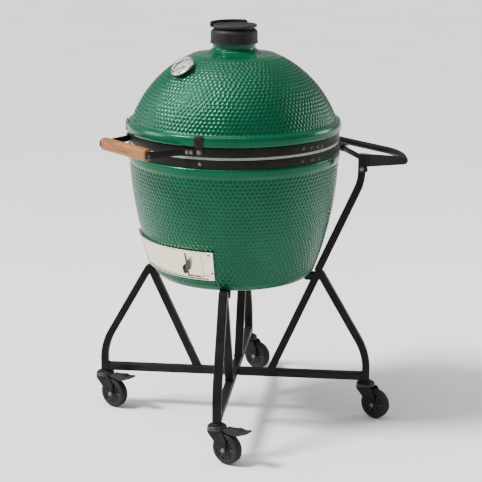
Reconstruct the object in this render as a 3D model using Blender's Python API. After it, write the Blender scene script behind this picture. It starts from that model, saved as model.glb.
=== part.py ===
"""Kamado ceramic grill on a wheeled steel nest, built as an assembly of its separate pieces.

Metres, +Z up. The front (wooden handle, draft door, thermometer) faces -Y. The pieces are drawn round the
egg's own upright axis, and at the end everything is moved together so that the origin is on the floor in
the middle of the whole object. Bearings round the egg are degrees from the front, positive towards +X.
"""

import math

import bmesh
import bpy
from mathutils import Matrix, Vector

# ---------------------------------------------------------------- driving dimensions
EGG_AXIS = (-0.018, -0.018, 0.0)
SEGMENTS = 48
SMALL_SEGMENTS = 24
FACET = 360 / SEGMENTS
GAP = 0.0003

# Egg
BASE_BOTTOM_Z = 0.489
BASE_WIDEST_RADIUS = 0.3374
BASE_WIDEST_Z = 0.905
BASE_TAPER = 0.4786
BASE_TAPER_POWER = 2.03
RIM_SEAT_RADIUS = 0.3345
RIM_INNER_RADIUS = 0.308
BASE_RIM_Z = 0.9232
DOME_RIM_Z = 0.9318
DOME_CENTRE_Z = 0.869
DOME_RADIUS = 0.351
DOME_HEIGHT = 0.3588
WALL = 0.027
FLOOR_Z = 0.518
ROLL_RADIUS = 0.3445
NECK_RADIUS = 0.0684
NECK_TOP_Z = 1.253
FLUE_RADIUS = 0.052

# Top vent and thermometer
THROAT_RADIUS = 0.0600
SHUTTER_RADIUS = 0.0526
LID_RADIUS = 0.0725
LID_BOTTOM_Z = 1.2861
LID_PIVOT_Y = 0.0640
LID_PIN_RADIUS = 0.0035
GAUGE_CENTRE = (0.0, -0.205, 1.1795)
GAUGE_RISE = 52.0
DIAL_RADIUS = 0.0346
STEM_RADIUS = 0.0028

# Bands, hinge and front handle
BAND_INNER = RIM_SEAT_RADIUS + 0.0006
BAND_OUTER = 0.3385
BASE_BAND_Z = (0.8975, 0.9225)
DOME_BAND_Z = (0.9330, 0.9605)
HINGE_Y = 0.362
HINGE_Z = 0.875
PIN_RADIUS = 0.005
PIN_REACH = 0.1405
GRIP_SIZE = (0.2408, 0.0250, 0.0380)
GRIP_CENTRE = (0.0, -0.4215, 0.9440)
CLIP_BEARING = 4.5 * FACET

# Draft door
DOOR_Z = (0.530, 0.628)
DOOR_EDGE = 39.5
DOOR_STOP = 36.0
DRAFT_BEARING = 11.0
DRAFT_Z = (0.549, 0.607)

# Nest
TUBE_WIDTH = 0.024
TUBE_DEPTH = 0.028
LEG_RADIUS = 0.440
LEG_BOTTOM_Z = 0.124
BAR_TOP_Z = 0.149
APEX = (0.280, 0.4956)
STRUT_SLOPE = 0.448
LEG_SLOPE = 0.573
LEG_BEND_RADIUS = 0.20
LEG_BEND_Z = 0.1626
APEX_BEND_RADIUS = 0.008
POST_RADIUS = 0.412
POST_TOP_Z = 0.887
PUSH_Z = 0.869
PUSH_TIP = 0.545
PUSH_Y = 0.460
PUSH_TUBE_RADIUS = 0.0115

# Casters
WHEEL_RADIUS = 0.049
WHEEL_WIDTH = 0.031
TRAIL = 0.0393
TRAIL_TURN = 15.0
AXLE_HOLE_RADIUS = 0.0045
PEDAL_PIVOT = (0.0375, 0.1110)
CORNERS = {"front_right": (1, -1), "front_left": (-1, -1), "rear_right": (1, 1), "rear_left": (-1, 1)}

# Frames that carry +Z to another direction
Z_TO_X = Matrix.Rotation(math.radians(90), 4, "Y")
Z_TO_Y = Matrix.Rotation(math.radians(-90), 4, "X")
SWAP_XY = Matrix(((0, 1, 0, 0), (1, 0, 0, 0), (0, 0, 1, 0), (0, 0, 0, 1)))
SWAP_YZ = Matrix(((1, 0, 0, 0), (0, 0, 1, 0), (0, 1, 0, 0), (0, 0, 0, 1)))


# ---------------------------------------------------------------- scene and materials
def clear_scene():
    for old in list(bpy.data.objects):
        bpy.data.objects.remove(old)


def material(name, colour, roughness, metallic=0.0):
    made = bpy.data.materials.new(name)
    made.use_nodes = True
    shader = made.node_tree.nodes["Principled BSDF"]
    shader.inputs["Base Color"].default_value = (*colour, 1.0)
    shader.inputs["Roughness"].default_value = roughness
    shader.inputs["Metallic"].default_value = metallic
    return made


def pivot(name, place, parent=None, turn=0.0):
    """An empty on a joint's axis. place is in the parent's own space."""
    empty = bpy.data.objects.new(name, None)
    bpy.context.scene.collection.objects.link(empty)
    empty.parent = parent
    empty.location = place
    empty.rotation_euler = (0.0, 0.0, math.radians(turn))
    return empty


def add(name, mesh, finish, parent=None, place=(0.0, 0.0, 0.0), turn=(0.0, 0.0, 0.0)):
    """A node. place and turn are in the parent's own space."""
    if not mesh.materials:
        mesh.materials.append(finish)
    mesh.shade_smooth()
    mesh.set_sharp_from_angle(angle=math.radians(35))
    obj = bpy.data.objects.new(name, mesh)
    bpy.context.scene.collection.objects.link(obj)
    obj.parent = parent
    obj.location = place
    obj.rotation_euler = turn
    return obj


# ---------------------------------------------------------------- shape helpers
def to_mesh(bm):
    bmesh.ops.recalc_face_normals(bm, faces=bm.faces)
    mesh = bpy.data.meshes.new("piece")
    bm.to_mesh(mesh)
    bm.free()
    return mesh


def lathe(profile, segments=SEGMENTS, closed=False):
    """Turns (radius, z) points round Z. An open profile has its ends on the axis, a closed one none."""
    bm = bmesh.new()
    rings = []
    for radius, z in profile:
        if radius == 0:
            rings.append([bm.verts.new((0, 0, z))] * segments)
            continue
        angles = [2 * math.pi * i / segments for i in range(segments)]
        rings.append([bm.verts.new((radius * math.sin(a), -radius * math.cos(a), z)) for a in angles])
    pairs = list(zip(rings, rings[1:] + rings[:1] if closed else rings[1:]))
    for low, high in pairs:
        for i in range(segments):
            j = (i + 1) % segments
            corners = []
            for corner in (low[i], low[j], high[j], high[i]):
                if corner not in corners:
                    corners.append(corner)
            bm.faces.new(corners)
    return to_mesh(bm)


def prism(outline, low, high):
    """Extrudes an outline of (x, z) points along Y from low to high."""
    bm = bmesh.new()
    near = [bm.verts.new((x, low, z)) for x, z in outline]
    far = [bm.verts.new((x, high, z)) for x, z in outline]
    bm.faces.new(near)
    bm.faces.new(list(reversed(far)))
    for i in range(len(outline)):
        j = (i + 1) % len(outline)
        bm.faces.new((near[i], far[i], far[j], near[j]))
    bm.normal_update()
    bmesh.ops.triangulate(bm, faces=[f for f in bm.faces if len(f.verts) > 4], ngon_method="EAR_CLIP")
    return to_mesh(bm)


def block(low, high):
    (x0, y0, z0), (x1, y1, z1) = low, high
    return prism([(x0, z0), (x1, z0), (x1, z1), (x0, z1)], y0, y1)


def moved(mesh, matrix):
    mesh.transform(matrix)
    if matrix.determinant() < 0:
        mesh.flip_normals()
    return mesh


def combined(base, others, operation):
    """The Boolean of one closed mesh with others, as a new mesh."""
    link = bpy.context.scene.collection.objects.link
    host = bpy.data.objects.new("host", base)
    link(host)
    helpers = [host]
    for other in others:
        helper = bpy.data.objects.new("helper", other)
        helper.hide_render = True
        helper.display_type = "WIRE"
        link(helper)
        helpers.append(helper)
        step = host.modifiers.new("boolean", "BOOLEAN")
        step.operation = operation
        step.object = helper
    bpy.context.view_layer.update()
    result = bpy.data.meshes.new_from_object(host.evaluated_get(bpy.context.evaluated_depsgraph_get()))
    for helper in helpers:
        bpy.data.objects.remove(helper)
    return result


def arc_points(centre, radius, start, end, steps):
    """Points on an arc, in degrees from the first axis."""
    turns = [math.radians(start + (end - start) * i / steps) for i in range(steps + 1)]
    return [(centre[0] + radius * math.cos(t), centre[1] + radius * math.sin(t)) for t in turns]


def edge_line(points, offset):
    """The line moved to its left by an offset, with mitred corners."""
    line = [Vector(p) for p in points]
    moved_line = []
    for i, here in enumerate(line):
        before = (here - line[i - 1]).normalized() if i else (line[1] - here).normalized()
        after = (line[i + 1] - here).normalized() if i < len(line) - 1 else before
        bisector = (before + after).normalized()
        normal = Vector((-bisector.y, bisector.x))
        moved_line.append(tuple(here + normal * offset / normal.dot(Vector((-before.y, before.x)))))
    return moved_line


def strip(points, width):
    """The outline of a bar of even width along a line of points, with square ends."""
    return edge_line(points, width / 2) + edge_line(points, -width / 2)[::-1]


def flat_strap(points, thickness, low, high):
    """A strap on edge: a strip drawn in plan, from height low to height high."""
    mesh = prism(strip(points, thickness), low, high)
    return moved(mesh, SWAP_YZ)


def tube(points, radius, sides=12):
    """A round bar along a line of 3-D points that stay at one height."""
    bm = bmesh.new()
    line = [Vector(p) for p in points]
    rings = []
    for i, here in enumerate(line):
        ahead = (line[min(i + 1, len(line) - 1)] - line[max(i - 1, 0)]).normalized()
        side = ahead.cross(Vector((0, 0, 1))).normalized()
        above = side.cross(ahead)
        turns = [2 * math.pi * k / sides for k in range(sides)]
        spokes = [radius * (math.cos(t) * side + math.sin(t) * above) for t in turns]
        rings.append([bm.verts.new(here + spoke) for spoke in spokes])
    for low, high in zip(rings, rings[1:]):
        for k in range(sides):
            n = (k + 1) % sides
            bm.faces.new((low[k], low[n], high[n], high[k]))
    bm.faces.new(rings[0])
    bm.faces.new(rings[-1])
    return to_mesh(bm)


def on_ring(bearing, radius, z=None):
    """The point at a bearing on the many-sided ring that the lathe makes."""
    step = math.floor(bearing / FACET + 1e-9)
    share = bearing / FACET - step
    ends = [math.radians((step + k) * FACET) for k in (0, 1)]
    corners = [Vector((radius * math.sin(a), -radius * math.cos(a))) for a in ends]
    spot = corners[0].lerp(corners[1], share)
    return (spot.x, spot.y) if z is None else (spot.x, spot.y, z)


def bearings(start, end, step=FACET):
    """The start, every whole step between, and the end."""
    inner = [k * step for k in range(math.ceil(start / step + 0.01), math.floor(end / step - 0.01) + 1)]
    return [start, *inner, end]


def curved_plate(section, stops, ring=on_ring):
    """Sweeps a closed (radius, z) section round the egg through the given bearings."""
    bm = bmesh.new()
    rings = [[bm.verts.new(ring(b, r, z)) for r, z in section] for b in stops]
    count = len(section)
    for low, high in zip(rings, rings[1:]):
        for k in range(count):
            n = (k + 1) % count
            bm.faces.new((low[k], low[n], high[n], high[k]))
    bm.faces.new(rings[0])
    bm.faces.new(rings[-1])
    bm.normal_update()
    bmesh.ops.triangulate(bm, faces=[f for f in bm.faces if len(f.verts) > 4], ngon_method="EAR_CLIP")
    return to_mesh(bm)


def turn_z(degrees):
    return Matrix.Rotation(math.radians(degrees), 4, "Z")


def rod(radius, start, end, sides=12):
    """A round bar along Z."""
    return lathe([(0, start), (radius, start), (radius, end), (0, end)], sides)


def round_ring(bearing, radius, z):
    """The point at a bearing on a true circle."""
    turn = math.radians(bearing)
    return (radius * math.sin(turn), -radius * math.cos(turn), z)


def pin_bore():
    """The cutter for the hinge pin's running hole."""
    return moved(rod(PIN_RADIUS + GAP, -0.2, 0.2, 16), Matrix.Translation((0, HINGE_Y, HINGE_Z)) @ Z_TO_X)


# ---------------------------------------------------------------- egg profiles
def base_radius(z):
    return BASE_WIDEST_RADIUS - BASE_TAPER * max(BASE_WIDEST_Z - z, 0.0) ** BASE_TAPER_POWER


def dome_radius(z, wall=0.0):
    return (DOME_RADIUS - wall) * math.sqrt(1 - ((z - DOME_CENTRE_Z) / (DOME_HEIGHT - wall)) ** 2)


def base_shell():
    corner = [(0.241, BASE_BOTTOM_Z), (0.250, 0.4925), (0.2565, 0.4985)]
    side = [(base_radius(z), z) for z in (0.53, 0.58, 0.64, 0.71, 0.79, 0.85)]
    rim = [(0.3372, 0.866), (0.3405, 0.873), (0.3405, 0.889), (0.3385, 0.8935), (RIM_SEAT_RADIUS, 0.8965)]
    inside = [(base_radius(z) - WALL, z) for z in (0.85, 0.74, 0.64, 0.555)]
    profile = [(0, BASE_BOTTOM_Z), *corner, *side, *rim, (RIM_SEAT_RADIUS, BASE_RIM_Z)]
    profile += [(RIM_INNER_RADIUS, BASE_RIM_Z), *inside, (0.236, 0.523), (0.222, FLOOR_Z), (0, FLOOR_Z)]
    draft = moved(block((-0.052, -0.34, DRAFT_Z[0]), (0.052, -0.20, DRAFT_Z[1])), turn_z(DRAFT_BEARING))
    return combined(lathe(profile), [draft], "DIFFERENCE")


def dome_shell():
    rim = [(RIM_SEAT_RADIUS, DOME_RIM_Z), (RIM_SEAT_RADIUS, 0.9615), (0.3425, 0.9635), (ROLL_RADIUS, 0.969)]
    rim += [(ROLL_RADIUS, 0.983), (0.3405, 0.9915), (dome_radius(0.997), 0.997)]
    side = [(dome_radius(z), z) for z in (1.03, 1.07, 1.11, 1.145, 1.175, 1.2)]
    neck = [(0.080, 1.2115), (0.0755, 1.2155), (NECK_RADIUS, 1.2185), (NECK_RADIUS, NECK_TOP_Z)]
    inside = [(dome_radius(z, WALL), z) for z in (1.15, 1.09, 1.03, 0.97)]
    profile = [*rim, *side, *neck, (FLUE_RADIUS, NECK_TOP_Z), (FLUE_RADIUS, 1.187), *inside]
    profile += [(0.314, 0.945), (RIM_INNER_RADIUS, DOME_RIM_Z)]
    probe_hole = moved(rod(STEM_RADIUS + 0.0017, -0.07, 0.02), gauge_frame())
    return combined(lathe(profile, closed=True), [probe_hole], "DIFFERENCE")


# ---------------------------------------------------------------- inside the egg
def fire_box():
    foot = FLOOR_Z + GAP
    profile = [(0, foot), (0.188, foot), (0.212, 0.56), (0.236, 0.63), (0.252, 0.71), (0.258, 0.80)]
    profile += [(0.238, 0.80), (0.231, 0.71), (0.214, 0.632), (0.176, 0.630), (0.168, 0.545), (0, 0.540)]
    slot = moved(block((-0.045, -0.30, DRAFT_Z[0]), (0.045, -0.12, 0.600)), turn_z(DRAFT_BEARING))
    return combined(lathe(profile, SMALL_SEGMENTS), [slot], "DIFFERENCE")


def fire_ring():
    """Stands on the fire box and carries the cooking grid."""
    foot = 0.80 + GAP
    profile = [(0.238, foot), (0.262, foot), (0.287, 0.872), (0.287, 0.895), (0.266, 0.895), (0.262, 0.872)]
    return lathe(profile, SMALL_SEGMENTS, closed=True)


def fire_grate():
    disc = lathe([(0, 0.6325), (0.205, 0.6325), (0.205, 0.6425), (0, 0.6425)], SMALL_SEGMENTS)
    rows = ((-0.12, 0.10), (-0.072, 0.15), (-0.024, 0.17), (0.024, 0.17), (0.072, 0.15), (0.12, 0.10))
    slots = [block((-reach, y - 0.009, 0.60), (reach, y + 0.009, 0.70)) for y, reach in rows]
    return combined(disc, slots, "DIFFERENCE")


def cooking_grid():
    """A round grid of flat bars inside a rim, on two crossbars."""
    rim = lathe([(0.292, 0.8953), (0.300, 0.8953), (0.300, 0.9043), (0.292, 0.9043)], 32, closed=True)
    bars = []
    for k in range(-6, 7):
        x = k * 0.043
        reach = math.sqrt(0.296**2 - x * x)
        bars.append(block((x - 0.0035, -reach, 0.8975), (x + 0.0035, reach, 0.9037)))
    bars += [block((-0.27, y - 0.004, 0.8957), (0.27, y + 0.004, 0.8990)) for y in (-0.115, 0.115)]
    return combined(rim, bars, "UNION")


def gasket(low, high):
    return lathe([(0.3100, low), (0.3360, low), (0.3365, high), (0.3095, high)], SEGMENTS, closed=True)


# ---------------------------------------------------------------- top vent
def lid_pin(radius, low, high):
    return moved(rod(radius, low, high), Matrix.Translation((0, LID_PIVOT_Y, 0)))


def vent_body():
    """A turned cap over the neck, with a recess for the shutter, a raised throat and the lid's pin."""
    outside = [(0.0765, 1.2365), (0.0752, 1.2450), (0.0745, 1.2725), (0.0685, 1.2800)]
    throat = [(THROAT_RADIUS, 1.2806), (THROAT_RADIUS, 1.2855), (0.0535, 1.2855), (0.0535, 1.2757)]
    throat += [(0.0465, 1.2757), (0.0465, 1.2700)]
    inside = [(0.0690, 1.2580), (0.0700, 1.2545), (0.0700, 1.2365)]
    body = lathe([*outside, *throat, *inside], 32, closed=True)
    return combined(body, [lid_pin(LID_PIN_RADIUS, 1.262, 1.2950)], "UNION")


def vent_lid():
    plate = lathe([(0, LID_BOTTOM_Z), (0.0690, LID_BOTTOM_Z), (LID_RADIUS, 1.2885), (LID_RADIUS, 1.2925),
                   (0.0700, 1.2950), (0.0520, 1.2942), (0, 1.2942)], 32)
    return combined(plate, [lid_pin(LID_PIN_RADIUS + GAP, 1.28, 1.30)], "DIFFERENCE")


def vent_grip():
    """A raised crescent that hugs the lid's edge on the -X side."""
    section = [(0.0729, 1.2875), (0.0768, 1.2880), (0.0772, 1.3005), (0.0755, 1.3025), (0.0700, 1.3025),
               (0.0685, 1.3000), (0.0685, 1.2956), (0.0729, 1.2953)]
    return curved_plate(section, [-18 - 12 * k for k in range(13)], ring=round_ring)


def vent_shutter():
    """A disc with a ring of holes that turns in the vent's recess."""
    low, high = 1.2762, 1.2788
    disc = lathe([(0, low), (SHUTTER_RADIUS, low), (SHUTTER_RADIUS, high), (0, high)], 32)
    holes = []
    for k in range(5):
        turn = math.radians(72 * k + 3)
        place = Matrix.Translation((0.031 * math.cos(turn), 0.031 * math.sin(turn), 0))
        holes.append(moved(rod(0.0125, 1.27, 1.29), place))
    return combined(disc, holes, "DIFFERENCE")


# ---------------------------------------------------------------- thermometer, built along its own +Z
def gauge_turn():
    """The Euler turn that carries the thermometer's own +Z to its line, which rises from the front."""
    return (math.radians(90 - GAUGE_RISE), 0, 0)


def gauge_frame():
    return Matrix.Translation(GAUGE_CENTRE) @ Matrix.Rotation(gauge_turn()[0], 4, "X")


def gauge_case():
    """The cup that shows the dial, with the probe that reaches through the dome."""
    stem = [(0, -0.100), (STEM_RADIUS, -0.096), (STEM_RADIUS, -0.0142), (0.0100, -0.0142), (0.0100, -0.0105)]
    cup = [(0.0300, -0.0105), (0.0385, -0.0070), (0.0398, -0.0010), (0.0388, 0.0026), (0.0358, 0.0030)]
    inside = [(0.0350, 0.0010), (0.0350, -0.0075), (0, -0.0075)]
    return lathe([*stem, *cup, *inside], SMALL_SEGMENTS)


def gauge_dial():
    return lathe([(0, -0.0072), (DIAL_RADIUS, -0.0072), (DIAL_RADIUS, -0.0062), (0, -0.0062)], SMALL_SEGMENTS)


def gauge_needle():
    """Points down and to the left at rest, where the scale starts."""
    blade = block((-0.0011, -0.0095, -0.0050), (0.0011, 0.0265, -0.0042))
    return moved(combined(rod(0.0032, -0.0052, -0.0034), [blade], "UNION"), turn_z(135))


def gauge_lens():
    return lathe([(0, -0.0012), (DIAL_RADIUS, -0.0012), (DIAL_RADIUS, 0.0006), (0, 0.0012)], SMALL_SEGMENTS)


# ---------------------------------------------------------------- draft door
def door_radius(z):
    """The straight taper that the door follows, close to the base's own curve."""
    foot, top = (base_radius(end) for end in DOOR_Z)
    return foot + (top - foot) * (z - DOOR_Z[0]) / (DOOR_Z[1] - DOOR_Z[0])


def door_section(low, high, z_low, z_high):
    """A thin slab along that taper, standing low to high off the ceramic."""
    return [(door_radius(z_low) + low, z_low), (door_radius(z_low) + high, z_low),
            (door_radius(z_high) + high, z_high), (door_radius(z_high) + low, z_high)]


def door_frame():
    """A back plate with a solid block at each end, and lipped rails above and below for the panels."""
    foot, top = DOOR_Z
    back = curved_plate(door_section(0.0015, 0.0030, foot, top), bearings(-DOOR_EDGE, DOOR_EDGE))
    pieces = []
    for side in (-1, 1):
        ends = sorted((side * DOOR_STOP, side * DOOR_EDGE))
        pieces.append(curved_plate(door_section(0.0020, 0.0100, foot, top), bearings(*ends)))
    span = bearings(-DOOR_STOP - 0.5, DOOR_STOP + 0.5)
    rail = 0.0045
    lip = 0.0090
    for low, high in ((foot, foot + rail), (top - rail, top)):
        pieces.append(curved_plate(door_section(0.0020, 0.0100, low, high), span))
    for low, high in ((foot, foot + lip), (top - lip, top)):
        pieces.append(curved_plate(door_section(0.0088, 0.0100, low, high), span))
    whole = combined(back, pieces, "UNION")
    margin = 0.002
    window = block((-0.058, -0.34, DRAFT_Z[0] - margin), (0.058, -0.22, DRAFT_Z[1] + margin))
    return combined(whole, [moved(window, turn_z(DRAFT_BEARING))], "DIFFERENCE")


def door_panel(low, high, start, end, tab_bearing, tab_z):
    """A sliding damper with a finger tab that stands out from one end."""
    section = door_section(low, high, DOOR_Z[0] + 0.0050, DOOR_Z[1] - 0.0055)
    plate = curved_plate(section, bearings(start, end, 5.0), ring=round_ring)
    z_low, z_high = tab_z
    root = low + 0.0006
    tip = 0.0240
    outline = [(door_radius(z_low) + root, z_low), (door_radius(z_low) + tip, z_low + 0.005),
               (door_radius(z_high) + tip, z_high - 0.006), (door_radius(z_high) + root, z_high)]
    tab = moved(prism(outline, -0.0012, 0.0012), turn_z(tab_bearing - 90))
    return combined(plate, [tab], "UNION")


# ---------------------------------------------------------------- bands, hinge, handle
def band(z_range):
    low, high = z_range
    near, far = BAND_INNER, BAND_OUTER
    return lathe([(near, low), (far, low), (far, high), (near, high)], SEGMENTS, closed=True)


def hinge_bracket(z_range, ear_x, ear_outline, reach):
    """A plate over the band at the back, with two ears that carry the pin."""
    low, high = z_range
    near, far = BAND_OUTER + 0.0005, BAND_OUTER + 0.0040
    span = bearings(180 - reach, 180 + reach)
    plate = curved_plate([(near, low), (far, low), (far, high), (near, high)], span)
    half = 0.0022
    ears = [moved(prism(ear_outline, x - half, x + half), SWAP_XY) for x in (-ear_x, ear_x)]
    return combined(combined(plate, ears, "UNION"), [pin_bore()], "DIFFERENCE")


def hinge_dome_bracket():
    ear = [(0.3290, 0.9570), (0.3290, 0.9380), (0.3470, 0.9290), (0.3500, 0.8700), (0.3560, 0.8640),
           (0.3690, 0.8640), (0.3745, 0.8720), (0.3720, 0.9300), (0.3580, 0.9570)]
    return hinge_bracket((0.9350, 0.9580), 0.088, ear, 24)


def hinge_base_bracket():
    ear = [(0.3268, 0.9200), (0.3268, 0.9010), (0.3420, 0.8930), (0.3460, 0.8680), (0.3530, 0.8610),
           (0.3710, 0.8610), (0.3760, 0.8700), (0.3740, 0.8880), (0.3560, 0.9160), (0.3500, 0.9200)]
    return hinge_bracket((0.8995, 0.9205), 0.096, ear, 32)


def hinge_pin():
    head = 0.0085
    end = PIN_REACH + 0.0055
    profile = [(0, -end), (head, -end), (head, -PIN_REACH), (PIN_RADIUS, -PIN_REACH), (PIN_RADIUS, PIN_REACH),
               (head, PIN_REACH), (head, end), (0, end)]
    return moved(lathe(profile, 16), Matrix.Translation((0, HINGE_Y, HINGE_Z)) @ Z_TO_X)


def hinge_spring(side):
    """The coil's outer shape: a thick ring round the pin."""
    inner, outer = 0.0065, 0.0155
    near, far = 0.1005, 0.1300
    ring = lathe([(inner, near), (outer, near), (outer, far), (inner, far)], 16, closed=True)
    to_axis = Matrix.Translation((0, HINGE_Y, HINGE_Z)) @ Matrix.Rotation(math.radians(90 * side), 4, "Y")
    return moved(ring, to_axis)


def handle_arm(side):
    """A flat bar on edge: along the band, then out to the end of the grip."""
    centre = BAND_OUTER + 0.0035
    across = GRIP_SIZE[0] / 2 + 0.0028
    path = [on_ring(b, centre) for b in (31.2, 30.0, 25.0)]
    path += [(across, -0.4085), (across, -0.4335)]
    return flat_strap([(side * x, y) for x, y in path], 0.0050, 0.9345, 0.9540)


def handle_grip():
    bm = bmesh.new()
    bmesh.ops.create_cube(bm, size=1.0)
    bmesh.ops.scale(bm, vec=GRIP_SIZE, verts=bm.verts)
    along = [e for e in bm.edges if abs(e.verts[0].co.x - e.verts[1].co.x) > 0.1]
    bmesh.ops.bevel(bm, geom=along, offset=0.006, segments=3, affect="EDGES", profile=0.5)
    bmesh.ops.translate(bm, vec=GRIP_CENTRE, verts=bm.verts)
    return to_mesh(bm)


def band_clip(side):
    """A bent strap bolted to the dome's band, reaching up over the rolled rim."""
    face = math.cos(math.radians(FACET / 2))
    foot = (BAND_OUTER + 0.0017) * face
    crest = (ROLL_RADIUS + 0.0030) * face
    path = [(foot, 0.9360), (foot, 0.9580), (crest, 0.9660), (crest, 0.9870), (crest - 0.0060, 0.9990)]
    return moved(prism(strip(path, 0.0025), -0.0135, 0.0135), turn_z(side * CLIP_BEARING - 90))


# ---------------------------------------------------------------- nest
def strut_at(z):
    return APEX[0] + STRUT_SLOPE * (z - APEX[1])


def truss_side(sign):
    """One leg, its bend, the apex and the inner strut, as one bent bar in the (radius, z) plane."""
    leg_turn = math.degrees(math.atan(LEG_SLOPE))
    strut_turn = math.degrees(math.atan(STRUT_SLOPE))
    leg = [(LEG_RADIUS, LEG_BOTTOM_Z)]
    leg += arc_points((LEG_RADIUS - LEG_BEND_RADIUS, LEG_BEND_Z), LEG_BEND_RADIUS, 0, leg_turn, 4)
    lean = math.radians((leg_turn - strut_turn) / 2)
    drop = APEX_BEND_RADIUS / math.sin(math.radians((leg_turn + strut_turn) / 2))
    bend_centre = (APEX[0] + drop * math.sin(lean), APEX[1] - drop * math.cos(lean))
    bend = arc_points(bend_centre, APEX_BEND_RADIUS, leg_turn, 180 - strut_turn, 4)
    foot_z = (LEG_BOTTOM_Z + BAR_TOP_Z) / 2
    foot = (strut_at(foot_z), foot_z)
    outside = edge_line([*leg, *bend, foot], -TUBE_WIDTH / 2)
    inside = edge_line([*leg, APEX, foot], TUBE_WIDTH / 2)
    outline = [(sign * x, z) for x, z in outside + inside[::-1]]
    return prism(outline, -TUBE_DEPTH / 2, TUBE_DEPTH / 2)


def truss(notch_low):
    """Both sides, the floor bar, the lap at the middle and the sockets for the caster stems."""
    inset = 0.0004
    depth = TUBE_DEPTH / 2 - inset
    bar = block((-LEG_RADIUS, -depth, LEG_BOTTOM_Z + inset), (LEG_RADIUS, depth, BAR_TOP_Z))
    frame = combined(truss_side(1), [bar, truss_side(-1)], "UNION")
    middle = (LEG_BOTTOM_Z + BAR_TOP_Z) / 2
    half = TUBE_DEPTH / 2 + GAP
    z_low, z_high = (0.10, middle + GAP / 2) if notch_low else (middle - GAP / 2, 0.20)
    cuts = [block((-half, -0.03, z_low), (half, 0.03, z_high))]
    for sign in (-1, 1):
        cuts.append(moved(rod(0.0060, 0.10, 0.156), Matrix.Translation((sign * LEG_RADIUS, 0, 0))))
    return combined(frame, cuts, "DIFFERENCE")


def egg_pad():
    """A wedge on the inner strut's upper face, flat under the egg."""
    face = TUBE_WIDTH / 2 * math.sqrt(1 + STRUT_SLOPE**2) + GAP
    top_z = BASE_BOTTOM_Z - GAP
    low_z = 0.466
    outline = [(0.228, top_z), (0.230, low_z + 0.006), (0.238, low_z), (strut_at(low_z) - face, low_z),
               (strut_at(top_z) - face, top_z)]
    return prism(outline, -0.018, 0.018)


def handler_tube():
    """A post that carries on the strut's line from a rear apex and bends upright."""
    bend = 0.150
    turn = math.degrees(math.atan(STRUT_SLOPE))
    end_z = 0.831
    centre = (POST_RADIUS - bend, end_z)
    start_z = 0.4990
    arc = arc_points(centre, bend, -turn, 0, 5)
    foot = (arc[0][0] - STRUT_SLOPE * (arc[0][1] - start_z), start_z)
    outline = strip([foot, *arc, (POST_RADIUS, POST_TOP_Z)], TUBE_WIDTH)
    level = TUBE_WIDTH / 2 * math.sqrt(1 + STRUT_SLOPE**2)
    outline[0] = (foot[0] - level, start_z)
    outline[-1] = (foot[0] + level, start_z)
    return prism(outline, -TUBE_DEPTH / 2, TUBE_DEPTH / 2)


def push_handle():
    """A bent tube across the back, with a tapered plate and a flange at each end."""
    bend_radius = 0.216
    bend_turn = 50
    tip = PUSH_TIP / math.sqrt(2)
    straight_end = tip - bend_radius * math.sin(math.radians(bend_turn))
    right = arc_points((straight_end, PUSH_Y - bend_radius), bend_radius, 90, 90 - bend_turn, 6)
    lead = Vector((math.cos(math.radians(bend_turn)), -math.sin(math.radians(bend_turn)))) * 0.004
    right.append((right[-1][0] + lead.x, right[-1][1] + lead.y))
    path = [(-x, y) for x, y in reversed(right)] + right
    bar = tube([(x, y, PUSH_Z) for x, y in path], PUSH_TUBE_RADIUS)
    root = POST_RADIUS + TUBE_WIDTH / 2 + GAP
    plate = [(root + 0.002, 0.8875), (root + 0.002, 0.8455), (PUSH_TIP, PUSH_Z - 0.0130)]
    plate += [p for p in arc_points((PUSH_TIP, PUSH_Z), 0.0130, -60, 60, 4)]
    plate += [(PUSH_TIP, PUSH_Z + 0.0130)]
    ends = []
    for turn in (45, 135):
        ends.append(moved(prism(plate, -0.003, 0.003), turn_z(turn)))
        ends.append(moved(block((root, -0.014, 0.8300), (root + 0.005, 0.014, 0.8870)), turn_z(turn)))
    return combined(bar, ends, "UNION")


def brace(side):
    """A strap from the end of the hinge pin to the face of a post."""
    face = TUBE_DEPTH / 2 + 0.0028
    half = math.sqrt(0.5)
    path = [(0.1360, HINGE_Y + 0.009), (0.1360, HINGE_Y - 0.012)]
    for along in (POST_RADIUS - 0.010, POST_RADIUS + 0.010):
        path.append(((along - face) * half, (along + face) * half))
    strap = flat_strap([(side * x, y) for x, y in path], 0.0040, 0.8660, 0.8840)
    return combined(strap, [pin_bore()], "DIFFERENCE")


# ---------------------------------------------------------------- casters, round the stem, trailing to +X
def caster_stem():
    profile = [(0, 0.1085), (0.0300, 0.1085), (0.0305, 0.1130), (0.0240, 0.1190), (0.0160, 0.1200),
               (0.0160, 0.1237), (0.0056, 0.1237), (0.0056, 0.1540), (0, 0.1540)]
    return lathe(profile, 16)


def caster_fork():
    """A cup under the raceway and two tapering cheeks down to the axle."""
    cup_profile = [(0, 0.1005), (0.0290, 0.1005), (0.0312, 0.1035), (0.0312, 0.1075), (0.0300, 0.1082)]
    cup = lathe([*cup_profile, (0, 0.1082)], 16)
    eye = arc_points((TRAIL, WHEEL_RADIUS), 0.0115, -150, 30, 5)
    cheek = [(-0.0240, 0.1040), (-0.0225, 0.0940), *eye, (0.0480, 0.0800), (0.0330, 0.1040)]
    cheeks = [prism(cheek, side * 0.0200 - 0.0014, side * 0.0200 + 0.0014) for side in (-1, 1)]
    bore = moved(rod(AXLE_HOLE_RADIUS, -0.03, 0.03), Matrix.Translation((TRAIL, 0, WHEEL_RADIUS)) @ Z_TO_Y)
    return combined(combined(cup, cheeks, "UNION"), [bore], "DIFFERENCE")


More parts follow.
